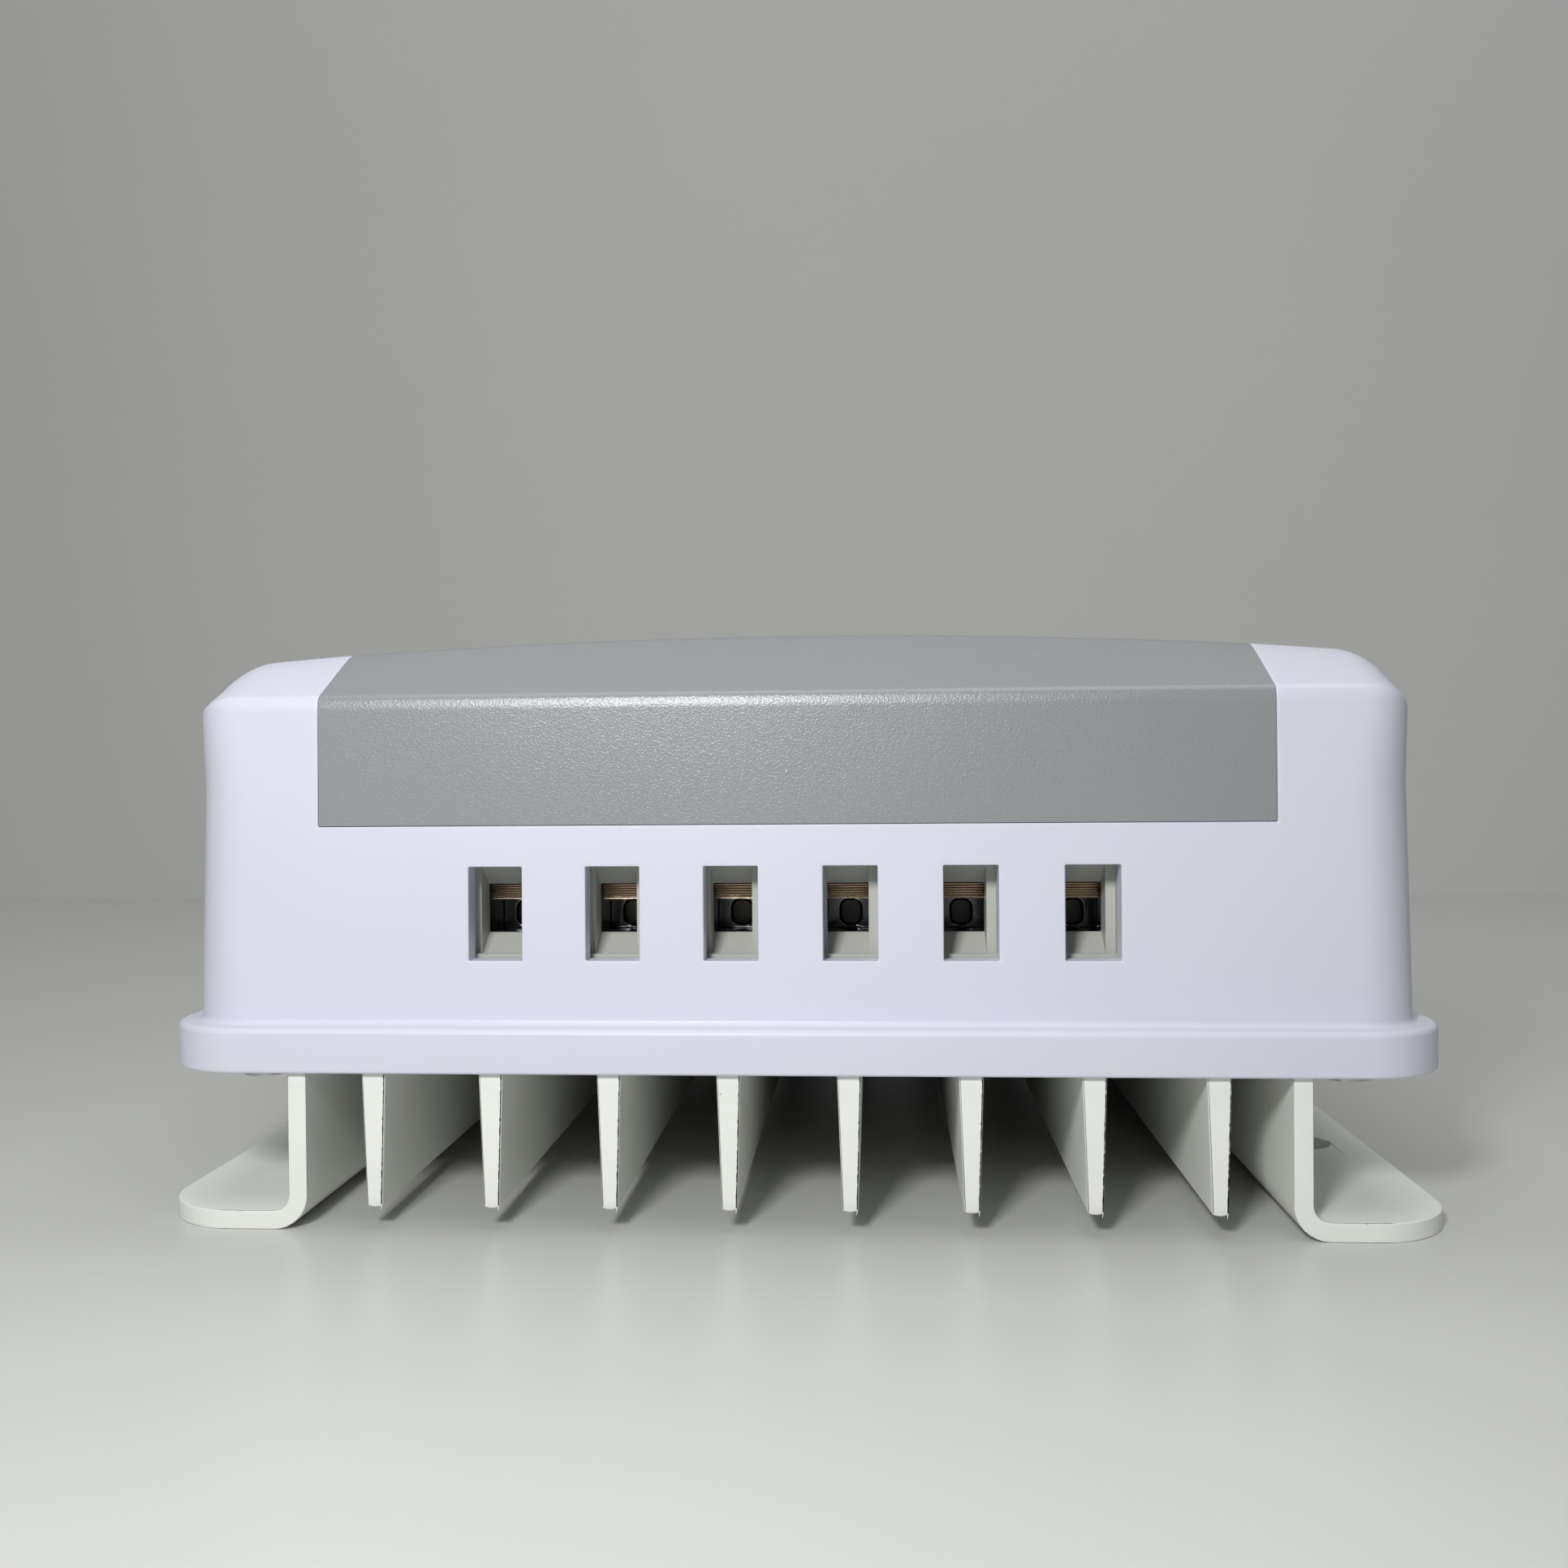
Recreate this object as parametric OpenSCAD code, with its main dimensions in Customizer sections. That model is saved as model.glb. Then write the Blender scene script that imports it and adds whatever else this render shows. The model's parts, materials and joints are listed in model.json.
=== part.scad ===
// Solar charge controller: a finned aluminium heatsink with turned-out feet, a drafted plastic
// cover with a grey face panel, and a row of six screw clamps behind the wiring openings.
// Millimetres, +Z up, standing on its feet. The wiring openings face -Y.

/* [Cover] */
// Width of the cover across its side walls, at the rim
cover_w = 156.8; // [154:0.1:160]
// Length of the cover from end wall to end wall, at the rim
cover_l = 203.4; // [190:0.1:230]
// Wall thickness of the cover
wall = 3.2; // [2.8:0.1:4]
// Plan radius of the cover's upright corners
corner_r = 8.1; // [6:0.1:10]
// Lean of the cover's walls in degrees
draft = 1.1; // [0.5:0.1:2]
// Height of the crease between the end wall and the slope
crease_z = 67.4; // [64:0.1:69]
// Angle of the sloped end above the horizontal
slope_angle = 28.3; // [26:0.1:34]
// Radius of the crease
crease_r = 3; // [1:0.1:4]
// Height of the top at its middle
crown_z = 76; // [74:0.1:78]
// Radius of the crowned top, seen from the end
crown_r = 846; // [600:1:1200]
// Radius between the top and the side walls
shoulder_r = 6.6; // [5:0.1:9]

/* [Rim] */
// Distance that the rim stands out from the walls
rim_out = 2.9; // [2:0.1:4]
// Lowest point of the rim
rim_z = 20; // [19.95:0.01:20.1]
// Height of the rim
rim_h = 5.7; // [5:0.1:7]

/* [Face panel] */
// Width of the grey panel
panel_w = 120.2; // [110:0.1:124]
// Height of the panel's lower edge on the end walls
panel_z = 51; // [48:0.1:56]
// Thickness of the panel
panel_t = 1.6; // [1.2:0.1:1.8]
// Gap round the panel
panel_gap = 0.2; // [0.1:0.05:0.4]

/* [Display and keys] */
// Width and length of the clear window
window = [66, 42]; // [50:1:70]
// Place of the window's middle along the length
window_y = 18; // [10:1:24]
// Size of a key's cap
key_size = [13, 7]; // [6:0.5:14]
// Distance between keys
key_pitch = 18; // [17:0.5:18]
// Place of the row of keys along the length
key_y = -26; // [-30:1:-22]
// Travel of a key
key_travel = 0.5; // [0.3:0.1:0.6]

/* [Terminals] */
// Distance between poles
pole_pitch = 15; // [15:0.1:16]
// Width and height of a wiring opening in the cover
entry = [6.85, 11.9]; // [5:0.05:12]
// Height of the lower edge of the openings
entry_z = 33.85; // [33:0.05:35]
// Sideways offset of the cover's openings from the poles
entry_shift = 0.25; // [0:0.05:0.4]
// Travel of a clamp plate from open to shut
clamp_travel = 4.6; // [3:0.1:4.6]

/* [Heatsink] */
// Length of the heatsink
sink_l = 207; // [195:0.5:230]
// Number of fins
fin_count = 8; // [4:2:8]
// Distance between fins
fin_pitch = 15; // [13:0.1:15]
// Thickness of a fin at its root and at its tip
fin_t = [3.1, 2]; // [1.5:0.1:4]
// Height of the fin tips
fin_z = 3; // [2:0.1:6]
// Distance from leg to leg, middle to middle
leg_span = 124.9; // [122:0.1:126]
// Thickness of the legs and feet
leg_t = 2.35; // [2:0.05:3]
// Width over the feet
foot_w = 164; // [160:0.5:170]
// Inner radius of the bend between leg and foot
bend_r = 2; // [1.5:0.1:3]
// Plan radius of the feet's corners
foot_r = 10.5; // [4:0.5:14]
// Diameter of the mounting holes
hole_d = 8; // [5:0.1:8.4]
// Spacing of the mounting holes across and along
hole_span = [146, 130]; // [110:1:150]

/* [Hidden] */
$fn = 48;
far = 300;
// Running clearance between a turning or sliding piece and its bore, on the radius
run = 0.05;
// Clearance round pieces that only pass through an opening
pass = 0.3;

base_z = 19.9;
base_t = 4;
base_top = base_z + base_t;
rim_top = rim_z + rim_h;
rim_w = cover_w + 2 * rim_out;
rim_l = cover_l + 2 * rim_out;
rim_r = corner_r + rim_out;
front_y = -cover_l / 2;

// Base plate of the heatsink, which fills the skirt inside the rim
skirt_gap = 0.3;
base_w = cover_w - 1.2;
base_l = cover_l - 1.2;

board_t = 1.6;
board_z = 29.6;
board_top = board_z + board_t;
board = [106, 192];
board_y = 0.6;
standoff_at = [for (x = [-49.5, 49.5], y = [-90, 0, 90]) [x, y]];

display_board_z = 64.4;
display_board = [84, 84];
display_board_y = 7;
display_top = display_board_z + board_t;
display_screw_at = [for (x = [-38, 38], y = [-39.5, 39.5]) [x, y + display_board_y]];

// The window's seat in the cover, the ledge under its edge and the gap round it
window_t = 1.3;
window_seat = crown_z - panel_t - 0.4;
window_ledge = 3;
window_gap = 0.2;
window_r = 2;

// Foot, height and corners of a key's cap, and the flange that keeps it in the cover
key_z = 70.2;
key_h = 6.2;
key_r = 2;
key_flange = [1, 1.2];

// Radius of each kind of screw at its thread and its head, and of the boss or spacer round it
cover_screw = [1.5, 3.2, 4.6];
display_screw = [1.25, 2.6, 3.2];
panel_screw = [1.4, 3, 3.4];
board_screw = [1.4, 2.7, 3];
bar_screw = [1.95, 3.4];
screw_pass = 1.6;
boss_top = 42;
panel_boss_z = 64;
cover_screw_at = [for (x = [-71, 71], y = [-92, 0, 92]) [x, y]];
panel_screw_at = [for (x = [-54, 54], y = [-80, 80]) [x, y]];

// Terminal block, in depths behind the cover's end wall
poles = 6;
block_w = poles * pole_pitch + 1;
block_d = [3.9, 24];
block_top = 54;
block_groove = 0.8;
chamber = [9.2, 10.9];
chamber_d = 9.6;
chamber_top = 47;

// Mouth of a pole: a pocket behind the cover's opening with a low lip in front, then a slot
// with a ramp below and a slanted lintel above. The slot reaches further left than right
pocket_d = 5.6;
lip = [0.7, 0.4];
slot = [2.9, 2.5];
slot_d = 9;
ramp_top = 36.5;
lintel_low = 42.95;

// Clamp frame: its walls, the eye in its back wall, and its solder pins
cage_w = 8.8;
cage_d = [9.8, 19.6];
cage_z = [34.8, 46.4];
cage_side = 1.2;
cage_floor = 1.3;
cage_head = 3;
cage_back = 1.4;
eye = [2.5, 3.1];
eye_z = 38.2;
pin_t = 1.2;
pin_x = 2.5;
pin_d = 15;

// Pressure plate, its screw and the driver's shaft over it
plate_size = [6, 7.6, 1.9];
plate_z = cage_z[0] + cage_floor + 0.1 + clamp_travel;
plate_d = 10.2;
plate_ridges = 6;
ridge_cut = 0.2;
neck_r = 1.2;
screw_r = 2;
head_r = 3.3;
head_h = 2.4;
shank_h = 8.5;
screw_d = plate_d + plate_size[1] / 2;
driver_r = 3.6;

transistor = [20.5, 15.6, 5];
transistor_y = [-56, -32, 32, 56];
transistor_x = 54.4;
pad_t = 0.3;
bar_x = 66;
bar_y = 44;
bar = [7, 36, 3];
bar_z = base_top + pad_t + transistor[2];

// Places of the flat cable's sockets, on the main board and under the display board
socket_y = [53, 45];
socket = [22, 5, 6];

// Ring cores: mean radius, width and height, and the wire wound on them
choke_at = [[-28, -8], [28, -8]];
choke_r = 14;
choke_size = [8, 14];
choke_z = board_top + 2.2;
wire = 1.5;
capacitor_at = [[-38, -54], [-14, -54], [14, -54], [38, -54]];

KEYS = [for (i = [1:4]) str("key_", i)];
CAGES = [for (i = [1:poles]) str("terminal_cage_", i)];
PLATES = [for (i = [1:poles]) str("clamp_plate_", i)];
SCREWS = [for (i = [1:poles]) str("terminal_screw_", i)];
CAPACITORS = [for (i = [1:4]) str("capacitor_", i)];

white = [0.87, 0.88, 0.93];
grey = [0.6, 0.62, 0.64];
coated = [0.92, 0.93, 0.9];
block_grey = [0.74, 0.75, 0.72];
nickel = [0.72, 0.7, 0.64];
steel = [0.7, 0.7, 0.72];
green = [0.1, 0.36, 0.2];
black = [0.12, 0.12, 0.13];
copper = [0.72, 0.42, 0.2];

function pole_x(i) = (i - (poles + 1) / 2) * pole_pitch;
function key_x(i) = (i - 2.5) * key_pitch;

// Points of an arc round c, from angle a0 to angle a1
function arc(c, r, a0, a1, n = 8) =
    [for (i = [0:n]) let (a = a0 + (a1 - a0) * i / n) c + r * [cos(a), sin(a)]];

// Outline of a rectangle with round corners, about the middle
function round_rect(size, r, n = 8) = let (x = size[0] / 2 - r, y = size[1] / 2 - r) concat(
    arc([x, y], r, 0, 90, n), arc([-x, y], r, 90, 180, n),
    arc([-x, -y], r, 180, 270, n), arc([x, -y], r, 270, 360, n));

// The right half of an outline, and its mirror image, as one closed outline
function both_sides(half) =
    concat(half, [for (i = [len(half) - 1:-1:0]) [-half[i][0], half[i][1]]]);

// Height of the crowned top over a place across the cover
function crown_at(x) = crown_z - crown_r + sqrt(crown_r * crown_r - x * x);

// Half size of the cover's walls at height z, for a half size at the rim
function wall_at(half, z, inset = 0) = half - inset - (z - rim_top) * tan(draft);

// Middle of the round between side wall and crown, found by three corrections
function shoulder(k = 3, z = 62) =
    let (x = wall_at(cover_w / 2, z) - shoulder_r,
         zc = crown_z - crown_r + sqrt(pow(crown_r - shoulder_r, 2) - x * x))
    k == 0 ? [x, zc] : shoulder(k - 1, zc);

// Corner where the end wall's line meets the slope's line, both moved in by inset
function crease(inset = 0) =
    let (y0 = wall_at(cover_l / 2, crease_z), m = tan(slope_angle), t = tan(draft),
         drop = inset / cos(slope_angle), z = crease_z + (m * inset - drop) / (1 - m * t))
    [y0 - inset - (z - crease_z) * t, z];

module slab(size, z, r, n = 8) {
    translate([0, 0, z]) linear_extrude(height = size[2]) polygon(round_rect([size[0], size[1]], r, n));
}

// Extrusion along X of an outline given in depth behind the end wall and height
module along_x(width, x = 0) {
    translate([x, front_y, 0]) rotate([90, 0, 90]) linear_extrude(height = width, center = true) children();
}

// End view: drafted side walls, shoulder rounds and the crowned top
module end_outline(inset, low) {
    r = shoulder_r - inset;
    c = shoulder();
    lean = asin(c[0] / (crown_r - shoulder_r));
    crown = arc([0, crown_z - crown_r], crown_r - inset, 90 - lean, 90, 10);
    half = concat([[wall_at(cover_w / 2, low, inset), low]], arc(c, r, draft, 90 - lean, 9),
                  [for (i = [1:len(crown) - 2]) crown[i]]);
    polygon(concat(half, [[0, crown_z - inset]],
                   [for (i = [len(half) - 1:-1:0]) [-half[i][0], half[i][1]]]));
}

// Side view: drafted end walls, rounded creases and the two slopes, running on above the crown
module side_outline(inset, low) {
    high = crown_z + 4;
    v = crease(inset);
    r = max(crease_r - inset, 0.4);
    turn = (90 - slope_angle - draft) / 2;
    reach = r / cos(turn);
    aim = draft + turn;
    c = v - reach * [cos(aim), sin(aim)];
    polygon(both_sides(concat(
        [[wall_at(cover_l / 2, low, inset), low]],
        arc(c, r, draft, 90 - slope_angle, 5),
        [[v[0] - (high - v[1]) / tan(slope_angle), high]])));
}

// The cover's body, moved in by inset on every face, from height low upwards
module body_form(inset = 0, low = rim_top) {
    intersection() {
        rotate([90, 0, 90]) linear_extrude(height = far, center = true) side_outline(inset, low);
        rotate([90, 0, 0]) linear_extrude(height = far, center = true) end_outline(inset, low);
        slab([cover_w - 2 * inset, cover_l - 2 * inset, 100], low, max(corner_r - inset, 1));
    }
}

// Space of the band that the grey panel covers, over both ends and the top
module panel_band(gap = 0) {
    translate([-panel_w / 2 - gap, -far / 2, panel_z - gap]) cube([panel_w + 2 * gap, far, 60]);
}

module wiring_openings() {
    for (i = [1:poles])
        translate([pole_x(i) + entry_shift - entry[0] / 2, front_y - 1, entry_z])
            cube([entry[0], wall + 4, entry[1]]);
}

module upright(at, r, z0, z1) {
    for (p = at) translate([p[0], p[1], z0]) cylinder(r = r, h = z1 - z0);
}

module cover() color(white) {
    // Bosses that take the screws from below and from the display board, inside the walls
    intersection() {
        body_form(wall - 0.4, base_top);
        difference() {
            union() {
                upright(cover_screw_at, cover_screw[2], base_top, boss_top);
                upright(display_screw_at, display_screw[2], display_top, crown_z + 4);
                upright(panel_screw_at, panel_screw[2], panel_boss_z, crown_z + 4);
            }
            upright(cover_screw_at, cover_screw[0] + 2 * run, base_top - 1, boss_top - 6);
            upright(display_screw_at, display_screw[0] + run, display_top - 1, display_top + 5);
            upright(panel_screw_at, panel_screw[0] + run, panel_boss_z + 2, crown_z + 14);
            panel_pocket();
        }
    }
    difference() {
        union() {
            body_form(0, rim_z + 1);
            slab([rim_w, rim_l, rim_h], rim_z, rim_r);
        }
        body_form(wall, base_top - 0.01);
        slab([base_w + 2 * skirt_gap, base_l + 2 * skirt_gap, base_top - rim_z + 1], rim_z - 1, corner_r);
        panel_pocket();
        wiring_openings();
        display_cutouts();
        // Driver holes over the terminal screws, which the panel hides
        for (i = [1:poles])
            translate([pole_x(i), front_y + screw_d, block_top + 2]) cylinder(r = driver_r, h = 30);
        upright(panel_screw_at, panel_screw[0] + run, panel_boss_z + 2, crown_z + 14);
    }
}

// The recess that the panel lies in
module panel_pocket() {
    difference() {
        panel_band(panel_gap);
        body_form(panel_t, rim_z);
    }
}

// The window's outline grown by gap, and the keys' openings, from height z upwards
module window_hole(gap, z, r) {
    translate([0, window_y, 0]) slab([window[0] + 2 * gap, window[1] + 2 * gap, 30], z, r);
}

module key_holes() {
    for (i = [1:4]) translate([key_x(i), key_y, 0])
        slab([key_size[0] + 2 * pass, key_size[1] + 2 * pass, 30], 60, key_r + pass);
}

module display_cutouts() {
    window_hole(-window_ledge, 60, 1.5);
    window_hole(window_gap, window_seat, window_r + window_gap);
    key_holes();
}

module face_panel() color(grey) {
    difference() {
        intersection() {
            body_form(0, panel_z);
            panel_band();
        }
        body_form(panel_t, rim_z);
        window_hole(window_gap, 60, window_r + window_gap);
        key_holes();
        for (p = panel_screw_at) translate([p[0], p[1], crown_at(p[0]) - panel_t]) {
            translate([0, 0, -2]) cylinder(r = panel_screw[0] + 0.4, h = 6);
            cylinder(r1 = panel_screw[0] + 0.4, r2 = panel_screw[1] + 0.2, h = panel_t);
            translate([0, 0, panel_t]) cylinder(r = panel_screw[1] + 0.2, h = 2);
        }
    }
}

module display_window() color([0.1, 0.12, 0.14, 0.6]) {
    translate([0, window_y, 0]) slab([window[0], window[1], window_t], window_seat, window_r);
}

// Liquid crystal glass in a thin frame
module display_module() color(black) {
    translate([0, window_y, 0]) {
        slab([window[0] - 2, window[1] + 2, 3], display_top, 1);
        slab([window[0] - 8, window[1] - 8, 5.4], display_top, 0.6);
    }
}

module display_board() color(green) {
    difference() {
        translate([0, display_board_y, 0])
            slab([display_board[0], display_board[1], board_t], display_board_z, 2);
        upright(display_screw_at, screw_pass, display_board_z - 1, display_top + 1);
    }
}

module key(i) color([0.85, 0.86, 0.9]) {
    flange = 2 * key_flange[0];
    translate([key_x(i), key_y, 0]) {
        slab([key_size[0], key_size[1], key_h], key_z, key_r);
        slab([key_size[0] + flange, key_size[1] + flange, key_flange[1]], key_z, key_r);
    }
}

// Switches under the keys
module key_switches() color(black) {
    for (i = [1:4]) translate([key_x(i), key_y, 0]) {
        slab([6, 6, 2.8], display_top, 0.4);
        translate([0, 0, display_top]) cylinder(r = 1.75, h = key_z - key_travel - 0.2 - display_top);
    }
}

// Pan head screw, head downwards, with its thread from z0 to z1
module screw_up(r, head, head_h, z0, z1) {
    difference() {
        union() {
            translate([0, 0, z0 - head_h]) cylinder(r = head, h = head_h);
            translate([0, 0, z0 - 0.1]) cylinder(r = r, h = z1 - z0 + 0.1);
        }
        for (a = [0, 90]) rotate(a)
            translate([-head * 0.6, -0.4, z0 - head_h - 1]) cube([head * 1.2, 0.8, 1.9]);
    }
}

module screw_down(r, head, head_h, z0, z1) {
    translate([0, 0, z0]) mirror([0, 0, 1]) screw_up(r, head, head_h, 0, z0 - z1);
}

module display_screws() color(steel) {
    for (p = display_screw_at) translate([p[0], p[1], 0])
        screw_up(display_screw[0], display_screw[1], 1.8, display_board_z, display_top + 4);
}

module cover_screws() color(steel) {
    for (p = cover_screw_at) translate([p[0], p[1], 0])
        screw_up(cover_screw[0], cover_screw[1], 2.2, base_z, boss_top - 8);
}

module panel_screws() color(steel) {
    for (p = panel_screw_at) translate([p[0], p[1], crown_at(p[0]) - panel_t]) difference() {
        union() {
            translate([0, 0, -6]) cylinder(r = panel_screw[0], h = 6.2);
            cylinder(r1 = panel_screw[0], r2 = panel_screw[1], h = panel_t - 0.1);
        }
        for (a = [0, 90]) rotate(a) translate([-1.7, -0.4, panel_t - 1]) cube([3.4, 0.8, 2]);
    }
}

module board_screws() color(steel) {
    for (p = standoff_at) translate([p[0], p[1], 0])
        screw_down(board_screw[0], board_screw[1], 1.9, board_top, board_z - 4.4);
}

module board_standoffs() color(nickel) {
    for (p = standoff_at) translate([p[0], p[1], base_top]) difference() {
        cylinder(r = board_screw[2], h = board_z - base_top, $fn = 6);
        translate([0, 0, 1]) cylinder(r = board_screw[0] + run, h = 10, $fn = 24);
    }
}

module main_board() color(green) {
    difference() {
        translate([0, board_y, 0]) slab([board[0], board[1], board_t], board_z, 2);
        upright(standoff_at, screw_pass, board_z - 1, board_top + 1);
        for (i = [1:poles], s = [-1, 1])
            translate([pole_x(i) + s * pin_x, front_y + pin_d, board_z - 1]) cylinder(r = 0.95, h = 4);
        transistor_leads(0.3);
    }
}

// Mouth of one pole, in profile behind the cover's opening and in plan
module pole_mouth(x) {
    front = block_d[0] - 1;
    back = chamber_d + 1;
    half = entry[0] / 2 + entry_shift + 0.05;
    entry_top = entry_z + entry[1];
    intersection() {
        along_x(2 * half + 1, x) polygon([
            [front, entry_z + lip[1]], [block_d[0] + lip[0], entry_z + lip[1]],
            [block_d[0] + lip[0], entry_z], [pocket_d, entry_z], [slot_d, ramp_top], [back, ramp_top],
            [back, lintel_low], [slot_d, lintel_low], [pocket_d, entry_top], [front, entry_top]]);
        translate([x, front_y, entry_z - 1]) linear_extrude(height = entry[1] + 2) polygon([
            [-half, front], [half, front], [half, pocket_d], [slot[1], pocket_d],
            [slot[1], back], [-slot[0], back], [-slot[0], pocket_d], [-half, pocket_d]]);
    }
}

// Housing of the six clamps: one moulding with a chamber, a mouth and a screw shaft for each pole
module terminal_block() color(block_grey) {
    difference() {
        along_x(block_w) polygon([
            [block_d[0], board_top], [block_d[1], board_top], [block_d[1], 46], [21, block_top],
            [5.4, block_top], [block_d[0], block_top - 1.5]]);
        for (i = [1:poles]) {
            pole_mouth(pole_x(i));
            // Chamber for the cage, open below so that it goes in from the board's side
            translate([pole_x(i) - chamber[0] / 2, front_y + chamber_d, board_top - 1])
                cube([chamber[0], chamber[1], chamber_top - board_top + 1]);
            translate([pole_x(i), front_y + screw_d, 40]) cylinder(r = driver_r, h = 30);
        }
        // Grooves between poles, in front and on top
        for (i = [1:poles - 1]) {
            x = pole_x(i) + pole_pitch / 2;
            translate([x - block_groove / 2, front_y + block_d[0] - 1, board_top + 2])
                cube([block_groove, 1 + block_groove, 30]);
            translate([x - block_groove / 2, front_y, block_top - block_groove]) cube([block_groove, 30, 4]);
        }
    }
}

// Clamp frame of one pole: a box with a threaded head, a back wall with an eye and two solder pins
module terminal_cage(i) color(nickel) {
    x = pole_x(i);
    depth = cage_d[1] - cage_d[0];
    difference() {
        union() {
            translate([x - cage_w / 2, front_y + cage_d[0], cage_z[0]])
                cube([cage_w, depth, cage_z[1] - cage_z[0]]);
            for (s = [-1, 1])
                translate([x + s * pin_x - pin_t / 2, front_y + pin_d - pin_t / 2, board_z - 1.2])
                    cube([pin_t, pin_t, cage_z[0] - board_z + 1.3]);
        }
        translate([x - cage_w / 2 + cage_side, front_y + cage_d[0] - 1, cage_z[0] + cage_floor])
            cube([cage_w - 2 * cage_side, depth - cage_back + 1,
                  cage_z[1] - cage_z[0] - cage_floor - cage_head]);
        translate([x, front_y + screw_d, cage_z[1] - cage_head - 1]) cylinder(r = screw_r + run, h = 6);
        translate([x, front_y + cage_d[1] + 1, eye_z]) rotate([90, 0, 0])
            linear_extrude(height = cage_back + 2) polygon(round_rect(eye, 0.9, 4));
    }
}

// Pressure plate with ridges on its front edge and underneath, hung on the screw's neck
module clamp_plate(i) color(nickel) {
    front = plate_d;
    back = front + plate_size[1];
    top = plate_z + plate_size[2];
    step = plate_size[2] / plate_ridges;
    edge = [for (k = [0:plate_ridges - 1]) each
        [[front, top - k * step], [front + ridge_cut, top - (k + 0.5) * step]]];
    teeth = [for (k = [0:3]) each let (d = front + 1.2 + k * 1.6)
        [[d, plate_z], [d + 0.4, plate_z + 0.35], [d + 0.8, plate_z]]];
    difference() {
        along_x(plate_size[0], pole_x(i))
            polygon(concat(edge, [[front + 0.1, plate_z]], teeth, [[back, plate_z], [back, top]]));
        translate([pole_x(i), front_y + screw_d, plate_z + 0.5]) cylinder(r = neck_r + run, h = 6);
    }
}

// Clamp screw: cross-slotted head, threaded shank, and a neck that turns in the plate
module terminal_screw(i) color(steel) {
    z = plate_z + plate_size[2];
    translate([pole_x(i), front_y + screw_d, 0]) difference() {
        union() {
            translate([0, 0, plate_z + 0.7]) cylinder(r = neck_r, h = 3);
            translate([0, 0, z + 0.1]) cylinder(r = screw_r, h = shank_h);
            translate([0, 0, z + shank_h]) cylinder(r = head_r, h = head_h);
        }
        for (a = [0, 90]) rotate(a) translate([-2.1, -0.5, z + shank_h + 1.1]) cube([4.2, 1, 3]);
    }
}

// Leads of all the transistors, grown by gap for the board's slots
module transistor_leads(gap = 0) {
    lead = 1.1 + 2 * gap;
    low = base_top + 2 - gap;
    for (s = [0, 1], y = transistor_y, k = [-1, 0, 1]) mirror([s, 0, 0])
        translate([transistor_x - 5 - gap, y + k * 5.4 - lead / 2, low]) {
            cube([lead, lead, board_top + 0.8 + gap - low]);
            cube([5.2 + gap, lead, lead]);
        }
}

// Flat power packages, bodies on the pads and leads bent up into the board
module power_transistors() color(black) {
    transistor_leads();
    for (s = [0, 1], y = transistor_y) mirror([s, 0, 0])
        translate([transistor_x, y, base_top + pad_t]) difference() {
            rotate([90, 0, 0]) linear_extrude(height = transistor[1], center = true) polygon([
                [0, 0], [transistor[0], 0], [transistor[0], transistor[2] - 0.6],
                [transistor[0] - 0.4, transistor[2]], [0.4, transistor[2]], [0, transistor[2] - 0.6]]);
            translate([15.4, 0, transistor[2] - 0.8]) cylinder(r = 3.2, h = 2);
        }
}

module thermal_pads() color([0.6, 0.62, 0.66]) {
    for (s = [0, 1], y = transistor_y) mirror([s, 0, 0])
        translate([transistor_x - 0.2, y - transistor[1] / 2 - 0.6, base_top])
            cube([transistor[0] + 0.4, transistor[1] + 1.2, pad_t]);
}

// Bars that press two packages each onto the base
module clamp_bars() color(steel) {
    for (s = [-1, 1], y = [-bar_y, bar_y]) translate([s * bar_x, y, bar_z]) difference() {
        slab(bar, 0, 1);
        translate([0, 0, -1]) cylinder(r = bar_screw[0] + 3 * run, h = 6);
    }
}

module clamp_bar_screws() color(steel) {
    for (s = [-1, 1], y = [-bar_y, bar_y]) translate([s * bar_x, y, 0])
        screw_down(bar_screw[0], bar_screw[1], 2.4, bar_z + bar[2], base_top - 2.8);
}

module choke_core(i) color([0.3, 0.34, 0.3]) {
    translate([choke_at[i - 1][0], choke_at[i - 1][1], choke_z]) rotate_extrude()
        translate([choke_r, choke_size[1] / 2]) polygon(round_rect(choke_size, 1.5, 4));
}

// Separate turns of copper round a ring core
module choke_winding(i) color(copper) {
    turns = 20;
    first = 18;
    inside = choke_size + [0.4, 0.4];
    translate([choke_at[i - 1][0], choke_at[i - 1][1], choke_z + choke_size[1] / 2])
        for (k = [0:turns - 1]) rotate(first + k * (360 - 2 * first) / (turns - 1))
            translate([choke_r, 0, 0]) rotate([90, 0, 0])
                linear_extrude(height = wire, center = true) difference() {
                    polygon(round_rect(inside + 2 * [wire, wire], 2, 4));
                    polygon(round_rect(inside, 1.2, 4));
                }
}

// Standing can with a crimp groove near its foot and a scored top
module capacitor(i) color([0.16, 0.18, 0.24]) {
    translate([capacitor_at[i - 1][0], capacitor_at[i - 1][1], board_top]) difference() {
        rotate_extrude() polygon([
            [0, 0], [8.6, 0], [9, 0.5], [9, 2.4], [8.5, 3], [8.5, 3.6], [9, 4.2],
            [9, 27.4], [8.2, 28], [0, 28]]);
        for (a = [0, 90]) rotate(a) translate([-5, -0.3, 27.6]) cube([10, 0.6, 2]);
    }
}

module control_chip() color(black) {
    translate([0, 32, 0]) {
        slab([14, 14, 1.6], board_top + 0.2, 0.4);
        for (a = [0:90:270]) rotate(a) for (k = [-5:5])
            translate([k * 1.2 - 0.25, 6.9, board_top]) cube([0.5, 1.8, 0.5]);
    }
}

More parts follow.
